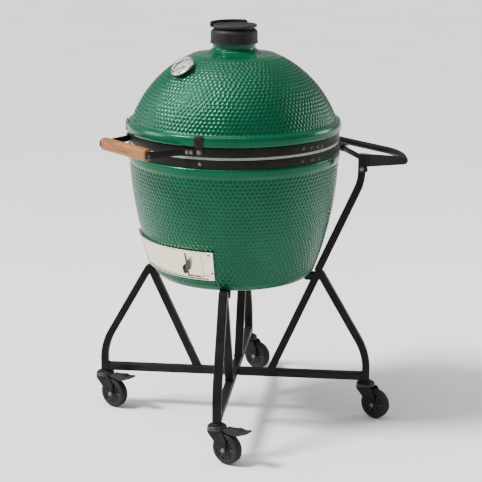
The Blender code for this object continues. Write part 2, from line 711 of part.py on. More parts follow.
def caster_wheel():
    """Turned about Y through its own centre. A flat of the many-sided tread rests on the floor."""
    half = WHEEL_WIDTH / 2
    sides = 20
    edge = WHEEL_RADIUS / math.cos(math.pi / sides)
    profile = [(AXLE_HOLE_RADIUS, half - 0.001), (0.0145, half - 0.001), (0.0180, half - 0.005)]
    profile += [(0.0340, half - 0.005), (0.0370, half - 0.001), (edge - 0.003, half - 0.002)]
    profile += [(edge, half - 0.007)]
    profile += [(r, -y) for r, y in reversed(profile)]
    return moved(lathe(profile, sides, closed=True), Z_TO_Y @ turn_z(180 / sides))


def caster_axle():
    head, nut = 0.0218, 0.0265
    profile = [(0, -nut), (0.0075, -nut), (0.0075, -head), (0.0042, -head), (0.0042, head),
               (0.0075, head), (0.0075, nut), (0, nut)]
    return moved(lathe(profile, 12), Z_TO_Y)


def brake_pedal():
    """A foot lever over the wheel with a raised beak, hinged just ahead of the raceway."""
    outline = [(0.0330, 0.1065), (0.0420, 0.1045), (0.0780, 0.1000), (0.1020, 0.1095), (0.1230, 0.1180),
               (0.1200, 0.1230), (0.0980, 0.1195), (0.0850, 0.1225), (0.0600, 0.1175), (0.0330, 0.1155)]
    x, z = PEDAL_PIVOT
    return prism([(u - x, v - z) for u, v in outline], -0.0160, 0.0160)


# ---------------------------------------------------------------- assembly
def build_gauge(finishes, dome_pivot):
    place = Vector(GAUGE_CENTRE) - dome_pivot.location
    add("gauge_case", gauge_case(), finishes["steel"], dome_pivot, place, gauge_turn())
    add("gauge_dial", gauge_dial(), finishes["dial"], dome_pivot, place, gauge_turn())
    add("gauge_lens", gauge_lens(), finishes["glass"], dome_pivot, place, gauge_turn())
    add("gauge_needle", gauge_needle(), finishes["needle"], dome_pivot, place, gauge_turn())


def build_vent(finishes, dome_pivot, back):
    add("vent_body", vent_body(), finishes["cast_iron"], dome_pivot, back)
    add("vent_shutter", vent_shutter(), finishes["cast_iron"], dome_pivot, back)
    hub = Vector((0, LID_PIVOT_Y, LID_BOTTOM_Z))
    lid_pivot = pivot("vent_lid_swing", hub + back, dome_pivot)
    add("vent_lid", vent_lid(), finishes["cast_iron"], lid_pivot, -hub)
    add("vent_grip", vent_grip(), finishes["rubber"], lid_pivot, -hub)


def build_dome(finishes):
    dome_pivot = pivot("dome_hinge", (0, HINGE_Y, HINGE_Z))
    back = -dome_pivot.location
    add("dome_shell", dome_shell(), finishes["glaze"], dome_pivot, back)
    add("dome_gasket", gasket(0.9277, DOME_RIM_Z - GAP), finishes["felt"], dome_pivot, back)
    add("dome_band", band(DOME_BAND_Z), finishes["black_steel"], dome_pivot, back)
    add("hinge_dome_bracket", hinge_dome_bracket(), finishes["black_steel"], dome_pivot, back)
    add("handle_grip", handle_grip(), finishes["wood"], dome_pivot, back)
    for side, word in ((-1, "left"), (1, "right")):
        add("handle_arm_" + word, handle_arm(side), finishes["black_steel"], dome_pivot, back)
        add("band_clip_" + word, band_clip(side), finishes["black_steel"], dome_pivot, back)
    build_vent(finishes, dome_pivot, back)
    build_gauge(finishes, dome_pivot)


def build_base(finishes):
    add("base_shell", base_shell(), finishes["glaze"])
    add("base_gasket", gasket(BASE_RIM_Z + GAP, 0.9272), finishes["felt"])
    add("base_band", band(BASE_BAND_Z), finishes["black_steel"])
    add("hinge_base_bracket", hinge_base_bracket(), finishes["black_steel"])
    add("hinge_pin", hinge_pin(), finishes["steel"])
    add("fire_box", fire_box(), finishes["ceramic"])
    add("fire_ring", fire_ring(), finishes["ceramic"])
    add("fire_grate", fire_grate(), finishes["cast_iron"])
    add("cooking_grid", cooking_grid(), finishes["steel"])
    add("door_frame", door_frame(), finishes["steel"])
    for side, word in ((-1, "left"), (1, "right")):
        add("hinge_spring_" + word, hinge_spring(side), finishes["black_steel"])
        add("brace_" + word, brace(side), finishes["black_steel"])
    door_pivot = pivot("door_slide", (0, 0, 0))
    left = door_panel(0.0062, 0.0074, -25.0, 22.0, 20.6, (0.545, 0.580))
    right = door_panel(0.0040, 0.0052, 20.2, 32.0, 23.4, (0.560, 0.598))
    add("door_panel_left", left, finishes["steel"], door_pivot)
    add("door_panel_right", right, finishes["steel"], door_pivot)


def build_nest(finishes):
    add("side_truss", truss(True), finishes["black_steel"], turn=(0, 0, math.radians(45)))
    add("cross_truss", truss(False), finishes["black_steel"], turn=(0, 0, math.radians(-45)))
    pad = egg_pad()
    post = handler_tube()
    for corner, (x, y) in CORNERS.items():
        turn = (0, 0, math.atan2(y, x))
        add("egg_pad_" + corner, pad, finishes["rubber"], turn=turn)
        if y > 0:
            add("handler_tube_" + corner.split("_")[1], post, finishes["black_steel"], turn=turn)
    add("push_handle", push_handle(), finishes["black_steel"])


def build_casters(finishes):
    stem, fork, pedal = caster_stem(), caster_fork(), brake_pedal()
    wheel, axle = caster_wheel(), caster_axle()
    for corner, (x, y) in CORNERS.items():
        reach = LEG_RADIUS / math.sqrt(2)
        swivel = pivot("caster_swivel_" + corner, (x * reach, y * reach, 0), turn=TRAIL_TURN)
        add("caster_stem_" + corner, stem, finishes["zinc"], swivel)
        add("caster_fork_" + corner, fork, finishes["black_steel"], swivel)
        hub = pivot("wheel_spin_" + corner, (TRAIL, 0, WHEEL_RADIUS), swivel)
        add("caster_wheel_" + corner, wheel, finishes["tyre"], hub)
        add("caster_axle_" + corner, axle, finishes["zinc"], hub)
        if y < 0:
            lever = pivot("brake_pivot_" + corner, (PEDAL_PIVOT[0], 0, PEDAL_PIVOT[1]), swivel)
            add("brake_pedal_" + corner, pedal, finishes["plastic"], lever)


def build():
    clear_scene()
    finishes = {
        "glaze": material("green_glaze", (0.020, 0.150, 0.085), 0.18),
        "ceramic": material("bare_ceramic", (0.62, 0.50, 0.38), 0.9),
        "felt": material("grey_felt", (0.38, 0.42, 0.39), 0.95),
        "black_steel": material("black_steel", (0.020, 0.022, 0.020), 0.45, 0.4),
        "cast_iron": material("black_cast", (0.028, 0.028, 0.024), 0.6, 0.3),
        "steel": material("stainless", (0.78, 0.75, 0.68), 0.3, 1.0),
        "zinc": material("zinc_steel", (0.12, 0.12, 0.12), 0.4, 0.8),
        "wood": material("wood", (0.55, 0.25, 0.10), 0.5),
        "rubber": material("black_rubber", (0.015, 0.015, 0.015), 0.8),
        "tyre": material("wheel_black", (0.018, 0.018, 0.020), 0.6),
        "plastic": material("pedal_black", (0.020, 0.020, 0.020), 0.5),
        "dial": material("dial_white", (0.82, 0.82, 0.80), 0.5),
        "needle": material("needle_black", (0.02, 0.02, 0.02), 0.5),
        "glass": material("gauge_glass", (0.9, 0.92, 0.92), 0.05),
    }
    build_base(finishes)
    build_dome(finishes)
    build_nest(finishes)
    build_casters(finishes)
    centre = pivot("egg_axis", EGG_AXIS)
    for obj in bpy.data.objects:
        if obj.parent is None and obj is not centre:
            obj.parent = centre


build()
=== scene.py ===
"""Looks of the kamado ceramic grill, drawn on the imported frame.

The pieces are drawn round the egg's own upright axis, in metres, and moved onto it as they are made.
Bearings round the egg are degrees from the front (-Y), positive towards +X.
"""

import math

import bmesh
import bpy
import numpy as np
from mathutils import Matrix, Vector


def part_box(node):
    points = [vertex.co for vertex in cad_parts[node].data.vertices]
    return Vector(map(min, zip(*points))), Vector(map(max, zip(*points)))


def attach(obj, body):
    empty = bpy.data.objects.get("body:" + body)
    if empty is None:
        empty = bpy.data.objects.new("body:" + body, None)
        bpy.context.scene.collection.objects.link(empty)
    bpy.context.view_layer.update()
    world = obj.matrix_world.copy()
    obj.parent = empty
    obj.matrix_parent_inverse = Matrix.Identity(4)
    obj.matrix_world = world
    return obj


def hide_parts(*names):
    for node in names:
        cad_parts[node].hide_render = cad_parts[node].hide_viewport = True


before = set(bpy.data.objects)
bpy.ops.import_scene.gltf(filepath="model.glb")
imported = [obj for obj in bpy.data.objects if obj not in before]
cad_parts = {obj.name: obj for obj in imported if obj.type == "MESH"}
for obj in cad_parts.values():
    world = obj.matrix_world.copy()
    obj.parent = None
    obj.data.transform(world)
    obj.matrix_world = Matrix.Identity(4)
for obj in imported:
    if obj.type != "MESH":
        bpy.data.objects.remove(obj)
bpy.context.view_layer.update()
SHELL_LOW, SHELL_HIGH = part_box("base_shell")
AXIS = Vector(((SHELL_LOW.x + SHELL_HIGH.x) / 2, (SHELL_LOW.y + SHELL_HIGH.y) / 2, 0))

# ---------------------------------------------------------------- dimensions, as in the CAD
WALL = 0.027
RIM_SEAT = 0.3345
RIM_INNER = 0.308
BASE_RIM_Z = 0.9232
DOME_RIM_Z = 0.9318
FLOOR_Z = 0.518
BAND_INNER = 0.3351
BAND_OUTER = 0.3385
BASE_BAND_Z = (0.8975, 0.9225)
DOME_BAND_Z = (0.9330, 0.9605)
HINGE_Y = 0.362
HINGE_Z = 0.875
GAUGE_CENTRE = (0.0, -0.205, 1.1795)
GAUGE_LEAN = 38.0
DOOR_Z = (0.530, 0.628)
ROLL_RADIUS = 0.3445
NECK_RADIUS = 0.0684
FLUE_RADIUS = 0.0520
NECK_TOP_Z = 1.2530
GRIP_LENGTH = 0.2408
GRIP_CENTRE = (-0.4215, 0.9440)
GRIP_ARM_Z = 0.94425
VENT_PIN_Y = 0.0640
BAR_END = 0.4285
DOOR_STOP = 36.0
DOOR_EDGE = 39.5
DRAFT_BEARING = 11.0
DRAFT_Z = (0.549, 0.607)
DRAFT_HALF = 0.052
TUBE_WIDTH = 0.024
TUBE_DEPTH = 0.028
LEG_RADIUS = 0.440
LEG_BOTTOM_Z = 0.1244
BAR_TOP_Z = 0.149
APEX = (0.280, 0.4956)
STRUT_SLOPE = 0.448
LEG_SLOPE = 0.573
POST_RADIUS = 0.412
PUSH_Z = 0.869
PUSH_TIP = 0.545
PUSH_Y = 0.460
WHEEL_RADIUS = 0.049
TRAIL = 0.0393
TRAIL_TURN = 15.0
PEDAL_PIVOT = (0.0375, 0.1110)
DIMPLE_PITCH = 0.0141
DIMPLE_RADIUS = 0.0075
DIMPLE_DEPTH = 0.0020
COUNT_STEP = 12
WELD_RIPPLE = 0.0030
CORNERS = {"front_right": (1, -1), "front_left": (-1, -1), "rear_right": (1, 1), "rear_left": (-1, 1)}
Z_TO_X = Matrix.Rotation(math.radians(90), 4, "Y")
Z_TO_Y = Matrix.Rotation(math.radians(-90), 4, "X")


def base_radius(z):
    return 0.3374 - 0.4786 * max(0.905 - z, 0.0) ** 2.03


def dome_radius(z, wall=0.0):
    return (0.351 - wall) * math.sqrt(max(1 - ((z - 0.869) / (0.3588 - wall)) ** 2, 0.0))


def door_radius(z):
    foot, top = base_radius(DOOR_Z[0]), base_radius(DOOR_Z[1])
    return foot + (top - foot) * (z - DOOR_Z[0]) / (DOOR_Z[1] - DOOR_Z[0])


# ---------------------------------------------------------------- materials
def ramp(tree, source, stops):
    """A colour ramp over (position, colour) stops."""
    node = tree.nodes.new("ShaderNodeValToRGB")
    band = node.color_ramp
    while len(band.elements) < len(stops):
        band.elements.new(0.5)
    for element, (position, colour) in zip(band.elements, stops):
        element.position = position
        element.color = (*colour, 1.0)
    tree.links.new(source, node.inputs[0])
    return node.outputs[0]


def noise(tree, scale, detail=4.0, stretch=(1, 1, 1), distortion=0.0, roughness=0.55):
    """Noise in the object's own space, in features per metre, drawn out along an axis by stretch."""
    where = tree.nodes.new("ShaderNodeTexCoord")
    mapping = tree.nodes.new("ShaderNodeMapping")
    mapping.inputs["Scale"].default_value = stretch
    tree.links.new(where.outputs["Object"], mapping.inputs[0])
    node = tree.nodes.new("ShaderNodeTexNoise")
    node.inputs["Scale"].default_value = scale
    node.inputs["Detail"].default_value = detail
    node.inputs["Roughness"].default_value = roughness
    node.inputs["Distortion"].default_value = distortion
    tree.links.new(mapping.outputs[0], node.inputs["Vector"])
    return node.outputs["Fac"]


def ranged(tree, source, low, high, start=0.3, end=0.7):
    node = tree.nodes.new("ShaderNodeMapRange")
    for key, value in (("From Min", start), ("From Max", end), ("To Min", low), ("To Max", high)):
        node.inputs[key].default_value = value
    tree.links.new(source, node.inputs["Value"])
    return node.outputs[0]


def mixed(tree, fac, first, second, blend="MIX"):
    """Mixes two colours; each is a socket or a plain colour."""
    node = tree.nodes.new("ShaderNodeMix")
    node.data_type = "RGBA"
    node.blend_type = blend
    for key, value in ((0, fac), (6, first), (7, second)):
        if isinstance(value, (int, float)):
            node.inputs[key].default_value = value
        elif isinstance(value, tuple):
            node.inputs[key].default_value = (*value, 1.0)
        else:
            tree.links.new(value, node.inputs[key])
    return node.outputs[2]


def combined(tree, operation, first, second=0.0):
    """A math node over a socket and a second socket or plain number."""
    node = tree.nodes.new("ShaderNodeMath")
    node.operation = operation
    tree.links.new(first, node.inputs[0])
    if isinstance(second, float):
        node.inputs[1].default_value = second
    else:
        tree.links.new(second, node.inputs[1])
    return node.outputs[0]


def bumped(tree, shader, height, distance, strength=1.0):
    node = tree.nodes.new("ShaderNodeBump")
    node.inputs["Distance"].default_value = distance
    node.inputs["Strength"].default_value = strength
    tree.links.new(height, node.inputs["Height"])
    tree.links.new(node.outputs[0], shader.inputs["Normal"])


def new_material(name, **fixed):
    made = bpy.data.materials.new(name)
    made.use_nodes = True
    shader = made.node_tree.nodes["Principled BSDF"]
    for key, value in fixed.items():
        shader.inputs[key.replace("_", " ")].default_value = value
    return made, made.node_tree, shader


def plain_finish(name, dark, light, rough, scale=18.0, fine=700.0, bump=0.0002, stretch=(1, 1, 1),
                 edges=0.0, **fixed):
    """Two tones in soft patches, varying roughness, a fine bump, and sharp edges lightened as a painted edge
    highlight.
    """
    made, tree, shader = new_material(name, **fixed)
    link = tree.links.new
    patches = noise(tree, scale, 6.0, stretch)
    colour = ramp(tree, patches, ((0.32, dark), (0.68, light)))
    if edges:
        # Sharp outer edges are lightened by pointiness, up to the edges amount: a painted highlight on the
        # edges.
        point = tree.nodes.new("ShaderNodeNewGeometry").outputs["Pointiness"]
        edge_highlight = ranged(tree, point, 0.0, edges, 0.515, 0.60)
        colour = mixed(tree, edge_highlight, colour, tuple(min(1.0, 4 * c + 0.05) for c in light))
    link(colour, shader.inputs["Base Color"])
    grain = noise(tree, fine, 3.0, stretch)
    link(ranged(tree, patches, rough[0], rough[1]), shader.inputs["Roughness"])
    bumped(tree, shader, grain, bump)
    return made


def glaze_finish():
    """Deep green glaze: darker in the dimples, partly pooled glaze and partly painted shade in the pits,
    thinner and lighter between them.
    """
    made, tree, shader = new_material("green_glaze", Coat_Weight=0.10, Coat_Roughness=0.05,
                                      Specular_IOR_Level=0.36,
                                      Specular_Tint=(0.22, 0.85, 0.58, 1.0))
    link = tree.links.new
    patches = noise(tree, 7.0, 5.0)
    body = ramp(tree, patches, ((0.30, (0.0008, 0.052, 0.022)), (0.70, (0.002, 0.074, 0.032))))
    pooled_and_shaded = tree.nodes.new("ShaderNodeAttribute")
    pooled_and_shaded.attribute_name = "dimple"
    # Deeper in a dimple is darker: pooled glaze and painted shade in the pits.
    colour = mixed(tree, ranged(tree, pooled_and_shaded.outputs["Fac"], 0.0, 0.55, 0.20, 0.95), body,
                   (0.0008, 0.026, 0.012))
    speck = ramp(tree, noise(tree, 420.0, 2.0), ((0.68, (0, 0, 0)), (0.80, (0.012, 0.016, 0.014))))
    link(mixed(tree, 1.0, colour, speck, "ADD"), shader.inputs["Base Color"])
    link(ranged(tree, noise(tree, 45.0, 3.0), 0.16, 0.30), shader.inputs["Roughness"])
    bumped(tree, shader, noise(tree, 160.0, 3.0), 0.0004, 0.5)
    return made


def wood_finish():
    """Oiled hardwood with its grain along X, darker at both ends."""
    made, tree, shader = new_material("wood", Coat_Weight=0.12, Coat_Roughness=0.25)
    link = tree.links.new
    bands = noise(tree, 16.0, 6.0, (0.35, 5.0, 5.0), 1.2)
    grain = noise(tree, 60.0, 8.0, (0.25, 8.0, 8.0), 0.6, 0.7)
    colour = ramp(tree, bands, ((0.28, (0.13, 0.034, 0.002)), (0.45, (0.27, 0.080, 0.006)),
                                (0.62, (0.36, 0.125, 0.012)), (0.78, (0.19, 0.052, 0.004))))
    pores = ramp(tree, grain, ((0.36, (0.35, 0.28, 0.22)), (0.52, (1, 1, 1))))
    colour = mixed(tree, 0.75, colour, pores, "MULTIPLY")
    where = tree.nodes.new("ShaderNodeTexCoord")
    split = tree.nodes.new("ShaderNodeSeparateXYZ")
    link(where.outputs["Object"], split.inputs[0])
    from_middle = combined(tree, "ABSOLUTE", combined(tree, "SUBTRACT", split.outputs["X"], AXIS.x))
    ends = ranged(tree, from_middle, 0.0, 0.55, 0.098, 0.119)
    link(mixed(tree, ends, colour, (0.085, 0.040, 0.018)), shader.inputs["Base Color"])
    link(ranged(tree, grain, 0.34, 0.55), shader.inputs["Roughness"])
    bumped(tree, shader, grain, 0.0005, 0.6)
    return made


def brushed_finish(name, dark, light, rough, along=(1.0, 1.0, 12.0)):
    """Stainless sheet with fine scratches along its length."""
    made, tree, shader = new_material(name, Metallic=1.0)
    link = tree.links.new
    lines = noise(tree, 55.0, 8.0, along, 0.0, 0.75)
    link(ramp(tree, lines, ((0.34, dark), (0.66, light))), shader.inputs["Base Color"])
    smudge = ranged(tree, noise(tree, 14.0, 4.0), -0.03, 0.06)
    link(combined(tree, "ADD", ranged(tree, lines, rough[0], rough[1]), smudge), shader.inputs["Roughness"])
    bumped(tree, shader, lines, 0.00008, 0.7)
    return made


def felt_finish():
    """Woven fibre gasket: pale, matt and hairy."""
    made, tree, shader = new_material("grey_felt", Roughness=0.95, Sheen_Weight=0.25)
    link = tree.links.new
    fibres = noise(tree, 900.0, 6.0, (1, 1, 2.5), 1.5, 0.7)
    patches = noise(tree, 60.0, 4.0)
    colour = ramp(tree, fibres, ((0.30, (0.22, 0.25, 0.20)), (0.65, (0.56, 0.60, 0.50))))
    soot = ramp(tree, patches, ((0.25, (0.62, 0.64, 0.60)), (0.60, (1, 1, 1))))
    link(mixed(tree, 0.8, colour, soot, "MULTIPLY"), shader.inputs["Base Color"])
    bumped(tree, shader, fibres, 0.0010)
    return made


def ceramic_finish():
    """Bare fired clay, speckled, with soot in soft patches."""
    made, tree, shader = new_material("bare_ceramic", Roughness=0.88)
    link = tree.links.new
    body = ramp(tree, noise(tree, 12.0, 6.0), ((0.3, (0.42, 0.33, 0.24)), (0.7, (0.66, 0.55, 0.42))))
    speck = ramp(tree, noise(tree, 340.0, 3.0), ((0.34, (0.45, 0.38, 0.30)), (0.46, (1, 1, 1))))
    colour = mixed(tree, 0.8, body, speck, "MULTIPLY")
    soot = ranged(tree, noise(tree, 5.0, 5.0), 0.0, 0.65, 0.48, 0.70)
    link(mixed(tree, soot, colour, (0.10, 0.085, 0.07)), shader.inputs["Base Color"])
    bumped(tree, shader, noise(tree, 260.0, 5.0), 0.0006)
    return made


def glass_finish():
    """Clear dial glass with a faint haze of fingerprints."""
    made, tree, shader = new_material("gauge_glass", IOR=1.45, Transmission_Weight=1.0)
    tint = ramp(tree, noise(tree, 90.0, 3.0), ((0.4, (0.96, 0.98, 0.97)), (0.6, (1, 1, 1))))
    tree.links.new(tint, shader.inputs["Base Color"])
    tree.links.new(ranged(tree, noise(tree, 60.0, 3.0), 0.0, 0.05), shader.inputs["Roughness"])
    return made


# edges= in these finishes sets how strong the painted edge highlight is.
FINISH = {
    "glaze": glaze_finish(),
    "wood": wood_finish(),
    "felt": felt_finish(),
    "ceramic": ceramic_finish(),
    "glass": glass_finish(),
    "black_steel": plain_finish("black_powder_coat", (0.003, 0.0035, 0.003), (0.009, 0.0095, 0.008),
                                (0.36, 0.52),
                                edges=0.25, Specular_IOR_Level=0.10),
    "cast_iron": plain_finish("black_cast", (0.007, 0.0075, 0.007), (0.018, 0.018, 0.016), (0.42, 0.62),
                              30.0, 420.0, 0.0005, edges=0.5, Specular_IOR_Level=0.15),
    "spring": plain_finish("spring_steel", (0.012, 0.012, 0.012), (0.05, 0.05, 0.05), (0.30, 0.45), 90.0,
                           edges=0.6, Metallic=0.7),
    "steel": brushed_finish("stainless", (0.70, 0.63, 0.48), (0.92, 0.86, 0.70), (0.24, 0.42)),
    "bright_steel": brushed_finish("bright_stainless", (0.66, 0.66, 0.63), (0.90, 0.90, 0.86), (0.14, 0.30),
                                   (1.0, 1.0, 1.0)),
    "zinc": plain_finish("zinc_plate", (0.16, 0.16, 0.15), (0.34, 0.33, 0.30), (0.30, 0.48), 60.0,
                         edges=0.4, Metallic=0.85),
    "bolt": plain_finish("blacked_bolt", (0.020, 0.020, 0.019), (0.060, 0.060, 0.056), (0.28, 0.42), 90.0,
                         edges=0.5, Metallic=0.6),
    "rubber": plain_finish("black_rubber", (0.006, 0.006, 0.006), (0.015, 0.015, 0.014), (0.62, 0.82), 50.0,
                           900.0, 0.0004, Specular_IOR_Level=0.12),
    "tyre": plain_finish("wheel_tread", (0.006, 0.006, 0.0065), (0.016, 0.016, 0.016), (0.45, 0.68), 40.0,
                         600.0, 0.0004, edges=0.3, Specular_IOR_Level=0.14),
    "plastic": plain_finish("black_nylon", (0.006, 0.006, 0.006), (0.015, 0.015, 0.014), (0.34, 0.52), 40.0,
                            800.0, 0.0003, edges=0.4, Specular_IOR_Level=0.16),
    "dial": plain_finish("dial_white", (0.78, 0.78, 0.74), (0.86, 0.86, 0.83), (0.45, 0.60), 40.0),
    "ink": plain_finish("dial_ink", (0.012, 0.012, 0.012), (0.03, 0.03, 0.03), (0.4, 0.5), 60.0),
    # Near-black strips laid where grooves, seams and gaps sit in shade: painted shadow.
    "painted_shadow": plain_finish("shadow_line", (0.010, 0.010, 0.009), (0.03, 0.028, 0.024), (0.6, 0.8), 60.0),
}


# ---------------------------------------------------------------- shape helpers
def moved(points, place):
    """The points as an array, carried by a matrix where one is given."""
    points = np.asarray(points, float).reshape(-1, 3)
    if place is None:
        return points
    matrix = np.array(place)
    return points @ matrix[:3, :3].T + matrix[:3, 3]


class Shape:
    """Points and faces gathered for one piece."""

    def __init__(self):
        self.points = []
        self.faces = []
        self.count = 0

    def add(self, form, place=None):
        points, faces = form
        points = moved(points, place)
        self.points.append(points)
        self.faces += [tuple(i + self.count for i in face) for face in faces]
        self.count += len(points)
        return self


def turned(profile, sides=96, closed=False):
    """Turns (radius, z) points round Z. A radius of 0 is a single point on the axis."""
    points, rings = [], []
    for radius, z in profile:
        first = len(points)
        if radius == 0:
            points.append((0, 0, z))
            rings.append([first] * sides)
            continue
        for k in range(sides):
            turn = 2 * math.pi * k / sides
            points.append((radius * math.sin(turn), -radius * math.cos(turn), z))
        rings.append(list(range(first, first + sides)))
    faces = []
    for low, high in zip(rings, rings[1:] + rings[:1] if closed else rings[1:]):
        for k in range(sides):
            n = (k + 1) % sides
            corners = []
            for corner in (low[k], low[n], high[n], high[k]):
                if corner not in corners:
                    corners.append(corner)
            if len(corners) > 2:
                faces.append(corners)
    return points, faces


def extruded(outline, low, high):
    """Extrudes an outline of (x, z) points along Y."""
    n = len(outline)
    points = [(x, low, z) for x, z in outline] + [(x, high, z) for x, z in outline]
    faces = [list(range(n)), list(range(2 * n - 1, n - 1, -1))]
    faces += [(k, k + n, (k + 1) % n + n, (k + 1) % n) for k in range(n)]
    return points, faces


def tube_faces(spans, sides):
    """Faces of a closed section carried over some spans, with both ends capped."""
    faces = []
    for i in range(spans):
        for k in range(sides):
            n = (k + 1) % sides
            faces.append((i * sides + k, i * sides + n, (i + 1) * sides + n, (i + 1) * sides + k))
    faces.append(tuple(range(sides)))
    faces.append(tuple(spans * sides + k for k in reversed(range(sides))))
    return faces


def swept(path, section, up=(0, 0, 1), scales=None):
    """Carries a closed (side, above) section along a line of points."""
    line = [Vector(p) for p in path]
    last = len(line) - 1
    points = []
    for i, here in enumerate(line):
        ahead = (line[min(i + 1, last)] - line[max(i - 1, 0)]).normalized()
        side = ahead.cross(Vector(up)).normalized()
        above = side.cross(ahead)
        size = scales[i] if scales else 1.0
        points += [tuple(here + size * (u * side + v * above)) for u, v in section]
    return points, tube_faces(last, len(section))


def oval(x, y, wide, tall, sides):
    """Points round an ellipse, from its centre and its half width and height."""
    turns = [2 * math.pi * k / sides for k in range(sides)]
    return [(x + wide * math.cos(t), y + tall * math.sin(t)) for t in turns]


def circle(radius, sides=16):
    return oval(0, 0, radius, radius, sides)


def oblong(near, far, low, high):
    """The corners of a plain section."""
    return [(near, low), (far, low), (far, high), (near, high)]


def rounded_rect(width, height, radius, steps=4):
    outline = []
    for cx, cy, start in ((1, 1, 0), (-1, 1, 90), (-1, -1, 180), (1, -1, 270)):
        for k in range(steps + 1):
            turn = math.radians(start + 90 * k / steps)
            outline.append((cx * (width / 2 - radius) + radius * math.cos(turn),
                            cy * (height / 2 - radius) + radius * math.sin(turn)))
    return outline


def rounded_corners(outline, radius, steps=3):
    """The outline with each corner replaced by an arc that meets both its sides."""
    made = []
    count = len(outline)
    for i in range(count):
        here = Vector(outline[i])
        before = Vector(outline[i - 1]) - here
        after = Vector(outline[(i + 1) % count]) - here
        reach = min(radius, 0.45 * before.length, 0.45 * after.length)
        start, end = here + before.normalized() * reach, here + after.normalized() * reach
        for k in range(steps + 1):
            t = k / steps
            made.append(tuple((1 - t) ** 2 * start + 2 * t * (1 - t) * here + t * t * end))
    return made


def through(points, step):
    """A smooth curve through the points, with a point about every step."""
    line = np.asarray(points, float)
    line = np.vstack([2 * line[0] - line[1], line, 2 * line[-1] - line[-2]])
    made = []
    for p0, p1, p2, p3 in zip(line, line[1:], line[2:], line[3:]):
        pieces = max(int(np.linalg.norm(p2 - p1) / step), 1)
        for t in np.arange(pieces) / pieces:
            made.append(0.5 * (2 * p1 + (p2 - p0) * t + (2 * p0 - 5 * p1 + 4 * p2 - p3) * t**2
                               + (3 * p1 - p0 - 3 * p2 + p3) * t**3))
    made.append(line[-2])
    return [tuple(float(c) for c in p) for p in made]


def arc(centre, radius, start, end, steps):
    turns = [math.radians(start + (end - start) * k / steps) for k in range(steps + 1)]
    return [(centre[0] + radius * math.cos(t), centre[1] + radius * math.sin(t)) for t in turns]


def offset_line(points, distance):
    """The line moved to its left by a distance, with mitred corners."""
    line = [Vector(p) for p in points]
    made = []
    for i, here in enumerate(line):
        before = (here - line[i - 1]).normalized() if i else (line[1] - here).normalized()
        after = (line[i + 1] - here).normalized() if i < len(line) - 1 else before
        bisector = (before + after).normalized()
        normal = Vector((-bisector.y, bisector.x))
        made.append(tuple(here + normal * distance / max(normal.dot(Vector((-before.y, before.x))), 0.2)))
    return made


def ring_point(bearing, radius, z):
    turn = math.radians(bearing)
    return (radius * math.sin(turn), -radius * math.cos(turn), z)


def ring_plate(section, start, end, step=1.5):
    """Sweeps a closed (radius, z) section round the egg from one bearing to another."""
    count = max(int(abs(end - start) / step), 1)
    stops = [start + (end - start) * k / count for k in range(count + 1)]
    points = [ring_point(b, r, z) for b in stops for r, z in section]
    return points, tube_faces(count, len(section))


def turn_z(degrees):
    return Matrix.Rotation(math.radians(degrees), 4, "Z")


def facing(point, normal):
    """The frame at a point whose +Z is the normal."""
    return Matrix.Translation(point) @ Vector(normal).to_track_quat("Z", "Y").to_matrix().to_4x4()


def on_wall(bearing, radius, z):
    """The frame on the egg's side whose +Z points outward."""
    return facing(ring_point(bearing, radius, z), ring_point(bearing, 1.0, 0.0))


def hex_bolt(across=0.0100, height=0.0045, washer=0.0072):
    """A hexagon head with a chamfered top on its washer, standing on Z = 0."""
    rim, base, top = across / 2, 0.0010, 0.0010 + height
    shape = Shape()
    shape.add(turned([(0, 0), (washer, 0), (washer, 0.0009), (washer - 0.0003, 0.0012), (0, 0.0012)], 32))
    shape.add(turned([(0, base), (rim, base), (rim, top - 0.0006), (rim * 0.84, top), (0, top)], 6))
    return np.vstack(shape.points), shape.faces


def dome_bolt(radius, height):
    """A button head with a small socket, standing on Z = 0."""
    socket = 0.0014
    profile = [(0, 0), (radius, 0)]
    for k in range(1, 7):
        turn = math.radians(15 * k)
        profile.append((max(radius * math.cos(turn), socket), height * math.sin(turn)))
    return turned(profile + [(socket, height * 0.4), (0, height * 0.4)], 24)


def weld_bead(path, radius):
    """A rippled bead along a line, with four points to a ripple."""
    line = through(path, WELD_RIPPLE / 4)
    scales = [1 + 0.16 * math.sin(math.pi * k / 2) for k in range(len(line))]
    return swept(line, circle(radius, 8), up=(0.31, 0.17, 0.93), scales=scales)


def finish_object(name, mesh, finish, body, stands_for):
    obj = bpy.data.objects.new(name, mesh)
    bpy.context.scene.collection.objects.link(obj)
    mesh.materials.append(FINISH[finish])
    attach(obj, body)
    if stands_for:
        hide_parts(*stands_for)
    return obj


def mesh_of(name, points, faces):
    """A mesh on the egg's axis, with its faces turned outward."""
    mesh = bpy.data.meshes.new(name)
    mesh.from_pydata((points + np.array(AXIS)).tolist(), [], faces)
    bm = bmesh.new()
    bm.from_mesh(mesh)
    bmesh.ops.recalc_face_normals(bm, faces=bm.faces)
    bm.to_mesh(mesh)
    bm.free()
    return mesh


def piece(name, form, finish, body, stands_for=(), angle=35.0, bevel=0.0, steps=3, place=None):
    """Makes a Shape or one form an object on the egg's axis. place carries it there from its own space."""
    shape = form if isinstance(form, Shape) else Shape().add(form)
    mesh = mesh_of(name, moved(np.vstack(shape.points), place), shape.faces)
    mesh.shade_smooth()
    mesh.set_sharp_from_angle(angle=math.radians(angle))
    obj = finish_object(name, mesh, finish, body, stands_for)
    if bevel:
        soften = obj.modifiers.new("edges", "BEVEL")
        soften.width = bevel
        soften.segments = steps
        soften.limit_method = "ANGLE"
        soften.angle_limit = math.radians(30)
        flat = obj.modifiers.new("normals", "WEIGHTED_NORMAL")
        flat.keep_sharp = True
    return obj


